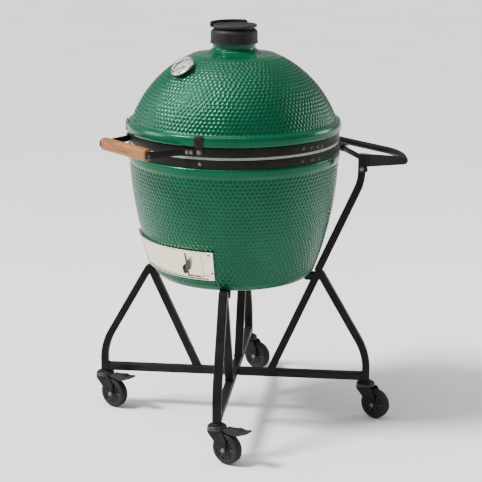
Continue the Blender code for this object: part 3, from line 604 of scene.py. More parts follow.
def cut(obj, cutters):
    """Cuts closed forms from an object's mesh."""
    helpers = []
    for points, faces in cutters:
        helper = bpy.data.objects.new("cutter", mesh_of("cutter", np.asarray(points, float), faces))
        bpy.context.scene.collection.objects.link(helper)
        helpers.append(helper)
        step = obj.modifiers.new("cut", "BOOLEAN")
        step.operation = "DIFFERENCE"
        step.object = helper
    bpy.context.view_layer.update()
    graph = bpy.context.evaluated_depsgraph_get()
    result = bpy.data.meshes.new_from_object(obj.evaluated_get(graph))
    obj.modifiers.clear()
    old = obj.data
    obj.data = result
    bpy.data.meshes.remove(old)
    result.set_sharp_from_angle(angle=math.radians(35))
    for helper in helpers:
        spare = helper.data
        bpy.data.objects.remove(helper)
        bpy.data.meshes.remove(spare)


# ---------------------------------------------------------------- ceramic skins
def dimple_field(turns, radii, lengths, zone):
    """How deep each point of a skin sits in its dimples, 0 to 1. Rings of dimples are staggered."""
    rise = DIMPLE_PITCH * math.sqrt(3) / 2
    start, end = zone
    rings = int((end - start) / rise)
    margin = (end - start - rings * rise) / 2
    field = np.zeros(turns.shape)
    for ring in range(rings + 1):
        at = start + margin + ring * rise
        rows = np.nonzero(np.abs(lengths - at) < DIMPLE_RADIUS * 1.3)[0]
        if not len(rows):
            continue
        radius = np.interp(at, lengths, radii)
        count = COUNT_STEP * int(round(2 * math.pi * radius / DIMPLE_PITCH / COUNT_STEP))
        phase = 0.5 * (ring % 2)
        share = turns[rows] / (2 * math.pi) * count + phase
        index = np.floor(share)
        seed = (index % count) * 12.9898 + ring * 78.233
        wander = np.modf(np.abs(np.sin(seed) * 43758.5453))[0] - 0.5
        drift = np.modf(np.abs(np.sin(seed * 1.31 + 4.1) * 24634.6345))[0] - 0.5
        across = (share - index - 0.5 - 0.12 * wander) * DIMPLE_PITCH
        along = lengths[rows][:, None] - at - 0.0011 * drift
        near = np.hypot(across, along) / (DIMPLE_RADIUS * (1 + 0.10 * drift))
        bowl = np.clip(1 - near**2, 0, None) ** 1.25
        field[rows] = np.maximum(field[rows], bowl)
    return field


def skin(name, profile, columns, sectors, finish, body, stands_for=(), zone=None, hole=None, outward=1.0):
    """A turned ceramic surface from fine (radius, z) rows, with dimples between two heights."""
    rows = np.asarray(profile, float)
    lengths = np.concatenate([[0], np.cumsum(np.hypot(*np.diff(rows, axis=0).T))])
    turns = np.tile(2 * math.pi * np.arange(columns) / columns, (len(rows), 1))
    gap = None
    if hole:
        bearing, half, (low, high) = hole
        first, last = (int(np.argmin(np.abs(rows[:, 1] - z))) for z in (low, high))
        rows[first, 1], rows[last, 1] = low, high
        edges = []
        for side in (-1, 1):
            reach = np.radians(bearing) + side * np.arcsin(half / rows[first:last + 1, 0])
            column = int(round(reach.mean() / (2 * math.pi / columns)))
            turns[first:last + 1, column % columns] = reach % (2 * math.pi)
            edges.append(column)
        gap = (first, last, edges)
    slope = np.gradient(rows, axis=0)
    slope /= np.linalg.norm(slope, axis=1)[:, None]
    depth = np.zeros(turns.shape)
    if zone:
        span = [float(np.interp(z, rows[:, 1], lengths)) for z in zone]
        depth = dimple_field(turns, rows[:, 0], lengths, span)
    radius = rows[:, :1] - DIMPLE_DEPTH * depth * slope[:, 1:]
    height = rows[:, 1:] + DIMPLE_DEPTH * depth * slope[:, :1]
    points = np.stack([radius * np.sin(turns), -radius * np.cos(turns), height + 0 * turns], axis=2)
    along = np.gradient(points, axis=0)
    around = np.roll(points, -1, axis=1) - np.roll(points, 1, axis=1)
    normals = np.cross(around, along)
    normals *= outward / np.maximum(np.linalg.norm(normals, axis=2), 1e-9)[:, :, None]
    for sector in range(sectors):
        first_column = columns * sector // sectors
        last_column = columns * (sector + 1) // sectors
        pick = np.arange(first_column, last_column + 1) % columns
        part, part_normals = points[:, pick], normals[:, pick]
        height_count, width = part.shape[:2]
        index = np.arange(height_count * width).reshape(height_count, width)
        quads = np.stack([index[:-1, :-1], index[:-1, 1:], index[1:, 1:], index[1:, :-1]], axis=2)
        keep = np.ones(quads.shape[:2], bool)
        if gap:
            low_row, high_row, (left, right) = gap
            columns_here = np.arange(first_column, last_column)
            for wrap in (0, columns):
                inside = (columns_here >= left + wrap) & (columns_here < right + wrap)
                keep[low_row:high_row, inside] = False
        quads = quads[keep]
        if outward < 0:
            quads = quads[:, ::-1]
        mesh = bpy.data.meshes.new(name)
        mesh.from_pydata((part.reshape(-1, 3) + np.array(AXIS)).tolist(), [], quads.tolist())
        mesh.shade_smooth()
        mark = mesh.attributes.new("dimple", "FLOAT", "POINT")
        mark.data.foreach_set("value", depth[:, pick].ravel().astype(np.float32))
        mesh.normals_split_custom_set_from_vertices(part_normals.reshape(-1, 3).tolist())
        title = name if sectors == 1 else f"{name}_{sector + 1}"
        finish_object(title, mesh, finish, body, stands_for if sector == 0 else ())


def heights(function, low, high, step):
    """(radius, z) rows along a curve r(z), about a step apart along the curve itself."""
    fine = np.linspace(low, high, 3000)
    radii = np.array([function(z) for z in fine])
    travel = np.concatenate([[0], np.cumsum(np.hypot(np.diff(radii), np.diff(fine)))])
    count = max(int(travel[-1] / step), 1)
    spots = np.interp(np.linspace(0, travel[-1], count + 1), travel, fine)
    return [(float(function(z)), float(z)) for z in spots]


def make_base(columns, step):
    foot = through([(0.2440, 0.4890), (0.2490, 0.4908), (0.2545, 0.4950), (0.2592, 0.5010)], step)
    side = heights(base_radius, 0.5075, 0.8640, step)
    roll = through([(base_radius(0.8662), 0.8662), (0.3392, 0.8690), (0.3405, 0.8740), (0.3405, 0.8880),
                    (0.3394, 0.8925), (0.3360, 0.8955), (RIM_SEAT, 0.8968), (RIM_SEAT, 0.9020)], step)
    rim = [(RIM_SEAT, 0.9120), (RIM_SEAT, 0.9215), (0.3340, 0.9229), (0.3325, BASE_RIM_Z),
           (RIM_INNER, BASE_RIM_Z)]
    hole = (DRAFT_BEARING, DRAFT_HALF, DRAFT_Z)
    skin("base_glaze", foot + side + roll + rim, columns, 4, "glaze", "base", ("base_shell",),
         zone=(0.5100, 0.8630), hole=hole)
    piece("base_foot", turned([(0, 0.4890), (0.2200, 0.4890), (0.2442, 0.4891)], 192), "ceramic", "base")
    inner = [(0, FLOOR_Z), (0.150, FLOOR_Z), (0.222, FLOOR_Z), (0.236, 0.523), (0.248, 0.533)]
    inner += heights(lambda z: base_radius(z) - WALL, 0.549, 0.86, 0.006) + [(RIM_INNER, 0.90),
                                                                             (RIM_INNER, BASE_RIM_Z)]
    skin("base_inside", inner[1:], 192, 1, "ceramic", "base", hole=hole, outward=-1.0)
    piece("base_floor", turned(inner[:2], 192), "ceramic", "base")
    make_draft_liner()


def make_draft_liner():
    """The walls of the draft hole, from the glazed side to the inside."""
    low, high = DRAFT_Z
    across = np.linspace(-DRAFT_HALF, DRAFT_HALF, 25)
    upward = np.linspace(low, high, 25)
    outline = [(x, low) for x in across] + [(DRAFT_HALF, z) for z in upward[1:]]
    outline += [(x, high) for x in across[-2::-1]] + [(-DRAFT_HALF, z) for z in upward[-2:0:-1]]
    depths = (0.0, 0.001, 0.008, 0.016, 0.024, WALL)
    points = []
    for depth in depths:
        for x, z in outline:
            radius = base_radius(z) - depth
            bearing = DRAFT_BEARING + math.degrees(math.asin(x / radius))
            points.append(ring_point(bearing, radius, z))
    sides_only = tube_faces(len(depths) - 1, len(outline))[:-2]
    piece("draft_liner", (points, sides_only), "ceramic", "base")


def make_dome(columns, step):
    rim = [(RIM_INNER, DOME_RIM_Z), (0.3325, DOME_RIM_Z), (0.3342, 0.9323), (RIM_SEAT, 0.9340),
           (RIM_SEAT, 0.9500)]
    roll = through([(RIM_SEAT, 0.9585), (RIM_SEAT, 0.9612), (0.3390, 0.9624), (0.3425, 0.9638),
                    (0.3442, 0.9670),
                    (ROLL_RADIUS, 0.9710), (ROLL_RADIUS, 0.9810), (0.3436, 0.9850), (0.3412, 0.9900),
                    (0.3385, 0.9935),
                    (dome_radius(0.9970) - 0.0002, 0.9970), (dome_radius(1.0), 1.0)], step)
    side = heights(dome_radius, 1.0020, 1.1900, step)
    collar = heights(dome_radius, 1.1920, 1.2020, step)
    neck = through([(0.0945, 1.2065), (0.0850, 1.2098), (0.0790, 1.2118), (0.0762, 1.2138), (0.0735, 1.2165),
                    (0.0700, 1.2185), (NECK_RADIUS, 1.2230), (NECK_RADIUS, 1.2300)], 0.0015)
    top = [(NECK_RADIUS, 1.2480), (0.0678, 1.2522), (0.0660, NECK_TOP_Z), (FLUE_RADIUS, NECK_TOP_Z)]
    skin("dome_glaze", rim + roll + side + collar + neck + top, columns, 4, "glaze", "dome", ("dome_shell",),
         zone=(1.0030, 1.1900))
    flue = [(FLUE_RADIUS, NECK_TOP_Z), (FLUE_RADIUS, 1.2250), (FLUE_RADIUS, 1.1900), (0.0560, 1.1868)]
    inner = heights(lambda z: dome_radius(z, WALL), 1.1850, 0.9700, 0.006)
    inside = flue + inner + [(0.3155, 0.955), (0.3125, 0.942), (RIM_INNER, DOME_RIM_Z)]
    skin("dome_inside", inside, 192, 1, "ceramic", "dome")


# ---------------------------------------------------------------- bands, gaskets, fasteners
def hoop(z_range, near, far, radius=0.0008):
    """A turned hoop with softened edges."""
    low, high = z_range
    return turned(rounded_corners(oblong(near, far, low, high), radius), 240, closed=True)


def make_bands():
    piece("base_hoop", hoop(BASE_BAND_Z, BAND_INNER, BAND_OUTER), "black_steel", "base",
          stands_for=("base_band",))
    piece("dome_hoop", hoop(DOME_BAND_Z, BAND_INNER, BAND_OUTER), "black_steel", "dome",
          stands_for=("dome_band",))
    for body, low, high, node in (("base", 0.9235, 0.9272, "base_gasket"),
                                  ("dome", 0.9277, 0.9315, "dome_gasket")):
        section = rounded_corners(oblong(0.3098, 0.3362, low, high), 0.0016, 4)
        points, faces = turned(section, 360, closed=True)
        points = np.array(points)
        turn = np.arctan2(points[:, 0], -points[:, 1])
        wave = 0.00022 * np.sin(23 * turn + low * 900) + 0.00016 * np.sin(41 * turn + 1.3) - 0.0003
        reach = np.hypot(points[:, 0], points[:, 1])
        points[:, :2] *= ((reach + wave * (reach > 0.33)) / reach)[:, None]
        piece(node.replace("gasket", "felt"), (points, faces), "felt", body, stands_for=(node,))
    dome_bolts, base_bolts = Shape(), Shape()
    for side in (-1, 1):
        for bearing, z in ((90.6, 0.9470), (96.2, 0.9455), (101.3, 0.9435), (105.1, 0.9420)):
            dome_bolts.add(dome_bolt(0.0052, 0.0022), on_wall(side * bearing, BAND_OUTER, z))
        for bearing, z in ((90.1, 0.9075), (96.9, 0.9065), (102.9, 0.9055)):
            base_bolts.add(dome_bolt(0.0044, 0.0020), on_wall(side * bearing, BAND_OUTER, z))
        base_bolts.add(hex_bolt(0.0085, 0.0040, 0.0056), on_wall(side * 34.1, BAND_OUTER, 0.9105))
    piece("dome_hoop_rivets", dome_bolts, "bolt", "dome")
    piece("base_hoop_rivets", base_bolts, "bolt", "base")
    low, high = 0.8985, 0.9215
    lugs = Shape()
    section = rounded_corners(oblong(BAND_OUTER, BAND_OUTER + 0.0016, low, high), 0.0005)
    for bearing in (-31.5, -27.0):
        lugs.add(ring_plate(section, bearing - 1.2, bearing + 1.2, 0.4))
    piece("base_hoop_lugs", lugs, "black_steel", "base")


# ---------------------------------------------------------------- hinge
def hinge_side(name, node, body, z_range, reach, ear_x, ear):
    low, high = z_range
    near, far = BAND_OUTER + 0.0005, BAND_OUTER + 0.0040
    section = rounded_corners(oblong(near, far, low, high), 0.0008)
    shape = Shape().add(ring_plate(section, 180 - reach, 180 + reach))
    swap = Matrix(((0, 1, 0, 0), (1, 0, 0, 0), (0, 0, 1, 0), (0, 0, 0, 1)))
    outline = rounded_corners(ear, 0.004, 4)
    for side in (-1, 1):
        shape.add(extruded(outline, side * ear_x - 0.0022, side * ear_x + 0.0022), swap)
    piece(name, shape, "black_steel", body, stands_for=(node,), bevel=0.0006, steps=2)
    bolts, bead = Shape(), Shape()
    count = 3 if reach > 28 else 2
    for side in (-1, 1):
        for k in range(count):
            bearing = 180 + side * (reach - 3.0 - 8.0 * k)
            if abs(abs(ring_point(bearing, far, 0)[0]) - ear_x) > 0.012:
                bolts.add(hex_bolt(), on_wall(bearing, far, (low + high) / 2))
        for edge in (-0.0026, 0.0026):
            x = side * ear_x + edge
            y = math.sqrt((far + 0.0005) ** 2 - x * x)
            bead.add(weld_bead([(x, y, z) for z in (low + 0.003, (low + high) / 2, high - 0.004)], 0.0016))
    piece(name + "_bolts", bolts, "bolt", body)
    piece(name + "_welds", bead, "black_steel", body)


def coil_spring(side):
    """A torsion spring's coil round the pin."""
    turns, steps, wire, radius = 7, 28, 0.0019, 0.0132
    near, far = 0.1028, 0.1280
    points = []
    for k in range(turns * steps + 1):
        angle = 2 * math.pi * k / steps
        x = near + (far - near) * k / (turns * steps)
        points.append((side * x, HINGE_Y + radius * math.cos(angle), HINGE_Z + radius * math.sin(angle)))
    return swept(points, circle(wire, 10), up=(side, 0, 0))


def make_hinge():
    dome_ear = [(0.3395, 0.9570), (0.3395, 0.9380), (0.3470, 0.9290), (0.3500, 0.8700), (0.3560, 0.8640),
                (0.3690, 0.8640), (0.3745, 0.8720), (0.3720, 0.9300), (0.3580, 0.9570)]
    base_ear = [(0.3370, 0.9190), (0.3370, 0.9010), (0.3420, 0.8930), (0.3460, 0.8680), (0.3530, 0.8610),
                (0.3710, 0.8610), (0.3760, 0.8700), (0.3740, 0.8880), (0.3560, 0.9160), (0.3500, 0.9200)]
    dome_ear = [(y - 0.011 if y < 0.341 else y, z) for y, z in dome_ear]
    base_ear = [(y - 0.010 if y < 0.341 else y, z) for y, z in base_ear]
    hinge_side("hinge_lid_half", "hinge_dome_bracket", "dome", (0.9350, 0.9580), 24, 0.088, dome_ear)
    hinge_side("hinge_base_half", "hinge_base_bracket", "base", (0.8995, 0.9205), 32, 0.096, base_ear)
    end, reach, head, rod = 0.1459, 0.1405, 0.0085, 0.0049
    profile = [(0, -end), (head * 0.8, -end), (head, -end + 0.0012), (head, -reach), (rod, -reach),
               (rod, reach),
               (head, reach), (head, end - 0.0012), (head * 0.8, end), (0, end)]
    at_pin = Matrix.Translation((0, HINGE_Y, HINGE_Z))
    piece("hinge_rod", turned(profile, 48), "bright_steel", "base", ("hinge_pin",),
          place=at_pin @ Z_TO_X)
    for side, word in ((-1, "left"), (1, "right")):
        piece("coil_spring_" + word, coil_spring(side), "spring", "base",
              ("hinge_spring_" + word,), angle=60)
        make_brace(side, word)
        spacer = Shape()
        for near, far in ((0.1308, 0.1335), (0.1383, 0.1400)):
            spacer.add(turned(rounded_corners(oblong(0.0051, 0.0088, near, far), 0.0004), 40, closed=True))
        outward = Matrix.Rotation(math.radians(90 * side), 4, "Y")
        piece("hinge_spacers_" + word, spacer, "bright_steel", "base", place=at_pin @ outward)


def make_brace(side, word):
    """A strap from the end of the hinge pin to the inner face of a post."""
    face = TUBE_DEPTH / 2 + 0.0028
    half = math.sqrt(0.5)
    path = [(0.1360, HINGE_Y + 0.009), (0.1360, HINGE_Y - 0.012)]
    for along in (POST_RADIUS - 0.010, POST_RADIUS + 0.010):
        path.append(((along - face) * half, (along + face) * half))
    line = rounded_line([(side * x, y, HINGE_Z) for x, y in path], 0.006)
    piece("strap_" + word, swept(line, rounded_rect(0.0040, 0.0180, 0.0008, 2)), "black_steel", "base",
          stands_for=("brace_" + word,))
    outer = face + 0.002
    spot = (side * (POST_RADIUS - outer) * half, (POST_RADIUS + outer) * half, HINGE_Z)
    piece("strap_bolt_" + word, hex_bolt(0.0100, 0.0045, 0.0070), "bolt", "base",
          place=facing(spot, (-side * half, half, 0)))


def rounded_line(points, radius, steps=6):
    """The line with each inner corner replaced by an arc."""
    made = [points[0]]
    for before, here, after in zip(points, points[1:], points[2:]):
        p, q, r = Vector(before), Vector(here), Vector(after)
        into, out = (p - q), (r - q)
        reach = min(radius, 0.45 * into.length, 0.45 * out.length)
        start, end = q + into.normalized() * reach, q + out.normalized() * reach
        for k in range(steps + 1):
            t = k / steps
            made.append(tuple((1 - t) ** 2 * start + 2 * t * (1 - t) * q + t * t * end))
    made.append(points[-1])
    return made


# ---------------------------------------------------------------- front handle and clips
def make_handle():
    half = GRIP_LENGTH / 2
    stations = [(-half, 0.72), (-half + 0.0006, 0.84), (-half + 0.0018, 0.94), (-half + 0.0040, 0.985),
                (-half + 0.0080, 1.0)]
    stations += [(x, 1.0) for x in np.linspace(-half + 0.012, half - 0.012, 40)]
    stations += [(-x, s) for x, s in reversed(stations[:5])]
    section = rounded_rect(0.0250, 0.0380, 0.0072, 6)
    path = [(x, *GRIP_CENTRE) for x, _ in stations]
    points, faces = swept(path, section)
    points = np.array(points)
    rows = len(section)
    for i, (_, size) in enumerate(stations):
        ring = points[i * rows:(i + 1) * rows]
        inset = (1 - size) * 0.0125
        offset = ring[:, 1:] - GRIP_CENTRE
        reach = np.abs(offset)
        ring[:, 1:] = GRIP_CENTRE + offset * np.maximum(reach - inset, 0) / np.maximum(reach, 1e-9)
    piece("wood_grip", (points, faces), "wood", "dome", stands_for=("handle_grip",), angle=60)
    for side, word in ((-1, "left"), (1, "right")):
        make_arm(side, word)
        make_clip(side, word)


def make_arm(side, word):
    """A flat bar on edge: along the band, then out to the end of the grip."""
    centre = BAND_OUTER + 0.0035
    across = GRIP_LENGTH / 2 + 0.0028
    curve = [ring_point(b, centre, GRIP_ARM_Z)[:2] for b in (31.2, 30.0, 28.0, 26.0, 25.0)]
    path = curve + [(across, -0.4085), (across, -0.4335)]
    line = rounded_line([(side * x, y, GRIP_ARM_Z) for x, y in path], 0.014, 8)
    piece("grip_arm_" + word, swept(line, rounded_rect(0.0050, 0.0195, 0.0010, 3)), "black_steel", "dome",
          stands_for=("handle_arm_" + word,))
    bolts = Shape()
    for bearing in (27.5, 29.8):
        bolts.add(hex_bolt(0.0088, 0.0038, 0.0060), on_wall(side * bearing, centre + 0.0025, 0.9450))
    spot = (side * (across + 0.0025), *GRIP_CENTRE)
    bolts.add(dome_bolt(0.0062, 0.0022), facing(spot, (side, 0, 0)))
    piece("grip_bolts_" + word, bolts, "bolt", "dome")


def make_clip(side, word):
    """A bent strap bolted to the dome's band, reaching up over the rolled rim."""
    foot, crest = BAND_OUTER + 0.0017, ROLL_RADIUS + 0.0022
    path = [(foot, 0.9360), (foot, 0.9580), (crest, 0.9660), (crest, 0.9870), (crest - 0.0060, 0.9990)]
    bearing = side * 33.75
    line = rounded_line([ring_point(bearing, r, z) for r, z in path], 0.006)
    strap = swept(line, rounded_rect(0.0270, 0.0022, 0.0006, 2), up=ring_point(bearing, 1.0, 0.0))
    piece("rim_clip_" + word, strap, "black_steel", "dome", stands_for=("band_clip_" + word,))
    piece("rim_clip_bolt_" + word, hex_bolt(), "bolt", "dome",
          place=on_wall(bearing, foot + 0.0011, 0.9465))


# ---------------------------------------------------------------- top vent
def make_vent():
    outside = [(0.0700, 1.2366), (0.0752, 1.2366), (0.0762, 1.2374), (0.0765, 1.2388), (0.0758, 1.2415),
               (0.0752, 1.2450), (0.0749, 1.2560), (0.0745, 1.2700), (0.0742, 1.2728), (0.0734, 1.2742)]
    crown = [(0.0700, 1.2782), (0.0690, 1.2794), (0.0678, 1.2799), (0.0640, 1.2802)]
    throat = [(0.0604, 1.2806), (0.0600, 1.2812), (0.0600, 1.2845), (0.0594, 1.2855), (0.0541, 1.2855),
              (0.0535, 1.2849)]
    recess = [(0.0535, 1.2757), (0.0470, 1.2757), (0.0465, 1.2752), (0.0465, 1.2700)]
    inside = [(0.0690, 1.2580), (0.0699, 1.2550), (0.0700, 1.2545)]
    body = Shape().add(turned(outside + crown + throat + recess + inside, 128, closed=True))
    pin = Matrix.Translation((0, VENT_PIN_Y, 0))
    body.add(turned([(0, 1.262), (0.0034, 1.262), (0.0034, 1.2940), (0.0026, 1.2949), (0, 1.2949)], 32), pin)
    piece("vent_cap", body, "cast_iron", "dome", stands_for=("vent_body",), angle=32)
    low, high = 1.2762, 1.2788
    plate = [(0, low), (0.0523, low), (0.0526, low + 0.0004), (0.0526, high - 0.0004), (0.0523, high),
             (0, high)]
    disc = piece("vent_damper", turned(plate, 96), "cast_iron", "vent_shutter", stands_for=("vent_shutter",))
    cutters = []
    for k in range(5):
        turn = math.radians(72 * k + 3)
        x, y = 0.031 * math.cos(turn), 0.031 * math.sin(turn)
        cutters.append(turned_at(oblong(0, 0.0125, 1.270, 1.285), 32, x, y))
    cut(disc, cutters)
    piece("vent_damper_screw", dome_bolt(0.0048, 0.0022), "zinc", "vent_shutter",
          place=Matrix.Translation((0, 0, high - 0.0002)))
    make_lid()


def turned_at(profile, sides, x, y):
    points, faces = turned(profile, sides)
    return [(p[0] + x, p[1] + y, p[2]) for p in points], faces


def make_lid():
    """A flat lid that swings on the pin, with a raised crescent to push it by."""
    bottom = 1.2861
    rim = [(0.0690, bottom), (0.0712, 1.2868), (0.0722, 1.2880), (0.0725, 1.2890), (0.0725, 1.2922),
           (0.0722, 1.2932), (0.0712, 1.2944), (0.0700, 1.2949)]
    dish = [(0.0640, 1.2947), (0.0560, 1.2944), (0.0520, 1.2941), (0.0508, 1.2938), (0.0300, 1.2939),
            (0.0, 1.2940)]
    lid = piece("lid_plate", turned([(0, bottom)] + rim + dish, 128), "cast_iron", "vent_lid",
                stands_for=("vent_lid",), angle=32)
    cut(lid, [turned_at(oblong(0, 0.0039, 1.280, 1.300), 32, 0, VENT_PIN_Y)])
    section = [(0.0729, 1.2877), (0.0752, 1.2878), (0.0764, 1.2885), (0.0769, 1.2900), (0.0771, 1.2980),
               (0.0770, 1.3004), (0.0764, 1.3016), (0.0753, 1.3023), (0.0738, 1.3025), (0.0708, 1.3024),
               (0.0694, 1.3019), (0.0686, 1.3006), (0.0685, 1.2990), (0.0685, 1.2954), (0.0700, 1.2953),
               (0.0729, 1.2952)]
    step, fade = 1.5, 6
    points, faces = ring_plate(section, -18, -162, step)
    points = np.array(points)
    n = len(section)
    stops = len(points) // n
    for i in range(stops):
        edge = min(i, stops - 1 - i) * step
        if edge < fade:
            ring = points[i * n:(i + 1) * n]
            drop = 0.0045 * (1 - math.sin(math.radians(90 * edge / fade))) ** 1.6
            tall = np.clip((ring[:, 2] - 1.2955) / 0.007, 0, 1)
            ring[:, 2] -= drop * tall
    piece("lid_crescent", (points, faces), "rubber", "vent_lid", stands_for=("vent_grip",), angle=50)


# ---------------------------------------------------------------- thermometer, drawn along its own +Z
def digit_strokes(digit):
    """A plain numeral as straight strokes in a box one unit wide and two high."""
    corners = {"a": ((0, 2), (1, 2)), "b": ((1, 2), (1, 1)), "c": ((1, 1), (1, 0)), "d": ((0, 0), (1, 0)),
               "e": ((0, 1), (0, 0)), "f": ((0, 2), (0, 1)), "g": ((0, 1), (1, 1))}
    lit = {"0": "abcdef", "1": "bc", "2": "abged", "3": "abgcd", "4": "fgbc", "5": "afgcd"}
    return [corners[name] for name in lit[digit]]


def flat_bar(start, end, width, low, high):
    """A thin bar between two points of a plane, standing low to high over it."""
    p, q = Vector(start), Vector(end)
    ahead = (q - p).normalized()
    side = Vector((-ahead.y, ahead.x)) * width / 2
    p, q = p - ahead * width / 2, q + ahead * width / 2
    corners = [p + side, p - side, q - side, q + side]
    points = [(c.x, c.y, low) for c in corners] + [(c.x, c.y, high) for c in corners]
    faces = [(3, 2, 1, 0), (4, 5, 6, 7)] + [(k, (k + 1) % 4, (k + 1) % 4 + 4, k + 4) for k in range(4)]
    return points, faces


def make_gauge():
    place = Matrix.Translation(GAUGE_CENTRE) @ Matrix.Rotation(math.radians(GAUGE_LEAN), 4, "X")
    stem = [(0, -0.1000), (0.0014, -0.0990), (0.0028, -0.0955), (0.0028, -0.0142), (0.0100, -0.0142),
            (0.0100, -0.0106)]
    cup = [(0.0290, -0.0105), (0.0330, -0.0096), (0.0372, -0.0078), (0.0385, -0.0064), (0.0392, -0.0030),
           (0.0398, -0.0018), (0.0398, -0.0004), (0.0394, 0.0014), (0.0386, 0.0025), (0.0376, 0.0030),
           (0.0364, 0.0030), (0.0356, 0.0025), (0.0351, 0.0012), (0.0350, 0.0004)]
    inside = [(0.0350, -0.0074), (0, -0.0074)]
    piece("gauge_cup", turned(stem + cup + inside, 128), "bright_steel", "dome",
          ("gauge_case",), angle=32, place=place)
    face = [(0, -0.0072), (0.0346, -0.0072), (0.0346, -0.0063), (0.0344, -0.0062), (0, -0.0062)]
    piece("gauge_face", turned(face, 128), "dial", "dome", stands_for=("gauge_dial",), place=place)
    ink = Shape()
    low, high = -0.0062, -0.00605
    ticks, start, sweep = 54, 225, 270
    for k in range(ticks + 1):
        turn = math.radians(start - sweep * k / ticks)
        near, width = (0.0285, 0.0004) if k % 6 else (0.0262, 0.0009)
        ends = [(radius * math.cos(turn), radius * math.sin(turn)) for radius in (near, 0.0308)]
        ink.add(flat_bar(*ends, width, low, high))
    numbers = ("50", "100", "150", "200", "250", "300", "350", "400")
    size, pitch, ring = 0.0017, 1.55, 0.0208
    for k, number in enumerate(numbers):
        turn = math.radians(start - sweep * k / (len(numbers) - 1))
        width = len(number) * pitch - 0.55
        for column, digit in enumerate(number):
            left = pitch * column - width / 2
            for stroke in digit_strokes(digit):
                ends = [(ring * math.cos(turn) + size * (left + x), ring * math.sin(turn) + size * (y - 1))
                        for x, y in stroke]
                ink.add(flat_bar(*ends, 0.0005, low, high))
    ink.add(turned(oblong(0.0322, 0.0326, low, high), 96, closed=True))
    piece("gauge_scale", ink, "ink", "dome", place=place)
    needle = Shape()
    outline = [(-0.0013, -0.0092), (0.0013, -0.0092), (0.0009, 0.0), (0.00035, 0.0262), (-0.00035, 0.0262),
               (-0.0009, 0.0)]
    flat = Matrix(((1, 0, 0, 0), (0, 0, 1, 0), (0, 1, 0, 0), (0, 0, 0, 1)))
    needle.add(extruded(outline, -0.0050, -0.0043), turn_z(135) @ flat)
    needle.add(turned([(0, -0.0052), (0.0031, -0.0052), (0.0032, -0.0049), (0.0030, -0.0037),
                       (0.0020, -0.0034), (0, -0.0034)], 40))
    piece("gauge_pointer", needle, "ink", "gauge_needle", ("gauge_needle",), place=place)
    lens = [(0, -0.0010), (0.0346, -0.0010), (0.0347, 0.0002), (0.0340, 0.0006), (0.0240, 0.0010),
            (0.0120, 0.0012), (0, 0.0012)]
    piece("gauge_window", turned(lens, 128), "glass", "dome", stands_for=("gauge_lens",), place=place)


# ---------------------------------------------------------------- draft door
def door_points(offsets):
    """Section points given as (stand-off, z) over the door's straight taper."""
    return [(door_radius(z) + off, z) for off, z in offsets]


def make_door():
    foot, top = DOOR_Z
    low, high = DRAFT_Z[0] - 0.002, DRAFT_Z[1] + 0.002
    reach = math.degrees(math.asin(0.058 / door_radius(0.58)))
    left_edge, right_edge = DRAFT_BEARING - reach, DRAFT_BEARING + reach
    case = Shape()
    sheets = ((foot, top, -DOOR_EDGE, left_edge), (foot, top, right_edge, DOOR_EDGE),
              (foot, low, left_edge, right_edge), (high, top, left_edge, right_edge))
    for z_low, z_high, start, end in sheets:
        case.add(ring_plate(door_points(oblong(0.0015, 0.0030, z_low, z_high)), start, end))
    rail, lip = 0.0045, 0.0090
    channel = [(0.0024, 0), (0.0100, 0), (0.0100, lip), (0.0088, lip), (0.0088, rail), (0.0024, rail)]
    lower = [(out, foot + up) for out, up in channel]
    upper = [(out, top - up) for out, up in channel]
    for section in (lower, [upper[0]] + upper[:0:-1]):
        case.add(ring_plate(door_points(rounded_corners(section, 0.0005, 2)), -DOOR_STOP - 0.4,
                            DOOR_STOP + 0.4))
    block = door_points(rounded_corners(oblong(0.0022, 0.0100, foot, top), 0.0008, 3))
    for start, end in ((-DOOR_EDGE, -DOOR_STOP), (DOOR_STOP, DOOR_EDGE)):
        case.add(ring_plate(block, start, end, 0.5))
    piece("door_case", case, "steel", "base", stands_for=("door_frame",), bevel=0.0005, steps=2)
    # Dark strips along the bottom and top grooves of the door: painted shadow in the recesses.
    shadow_strips = Shape()
    for z_low, z_high in ((0.5322, 0.5362), (0.6250, 0.6260)):
        painted_shadow = door_points(oblong(0.00995, 0.01012, z_low, z_high))
        shadow_strips.add(ring_plate(painted_shadow, -DOOR_STOP + 0.3, DOOR_STOP - 0.3))
    piece("door_painted_shadow_lines", shadow_strips, "painted_shadow", "base")
    screws, seats, rings = Shape(), Shape(), Shape()
    for side in (-1, 1):
        for bearing, z in ((36.9, 0.6190), (38.4, 0.5570)):
            radius = door_radius(z) + 0.0099
            seat = on_wall(side * bearing, radius, z)
            # A dark disc a little wider than each washer, left showing as a ring round it: painted shadow.
            rings.add(turned(oblong(0, 0.0058, 0, 0.0003), 32), seat)
            seats.add(turned([(0, 0), (0.0047, 0), (0.0047, 0.0008), (0.0043, 0.0011), (0, 0.0011)], 32),
                      seat)
            screws.add(dome_bolt(0.0029, 0.0016), on_wall(side * bearing, radius + 0.0010, z))
    piece("door_washers", seats, "bright_steel", "base")
    piece("door_washer_painted_shadows", rings, "painted_shadow", "base")
    piece("door_screws", screws, "spring", "base")
    make_panel("left", 0.0062, 0.0074, -25.0, 22.0, 20.6, (0.545, 0.580))
    make_panel("right", 0.0040, 0.0052, 20.2, 32.0, 23.4, (0.560, 0.598))


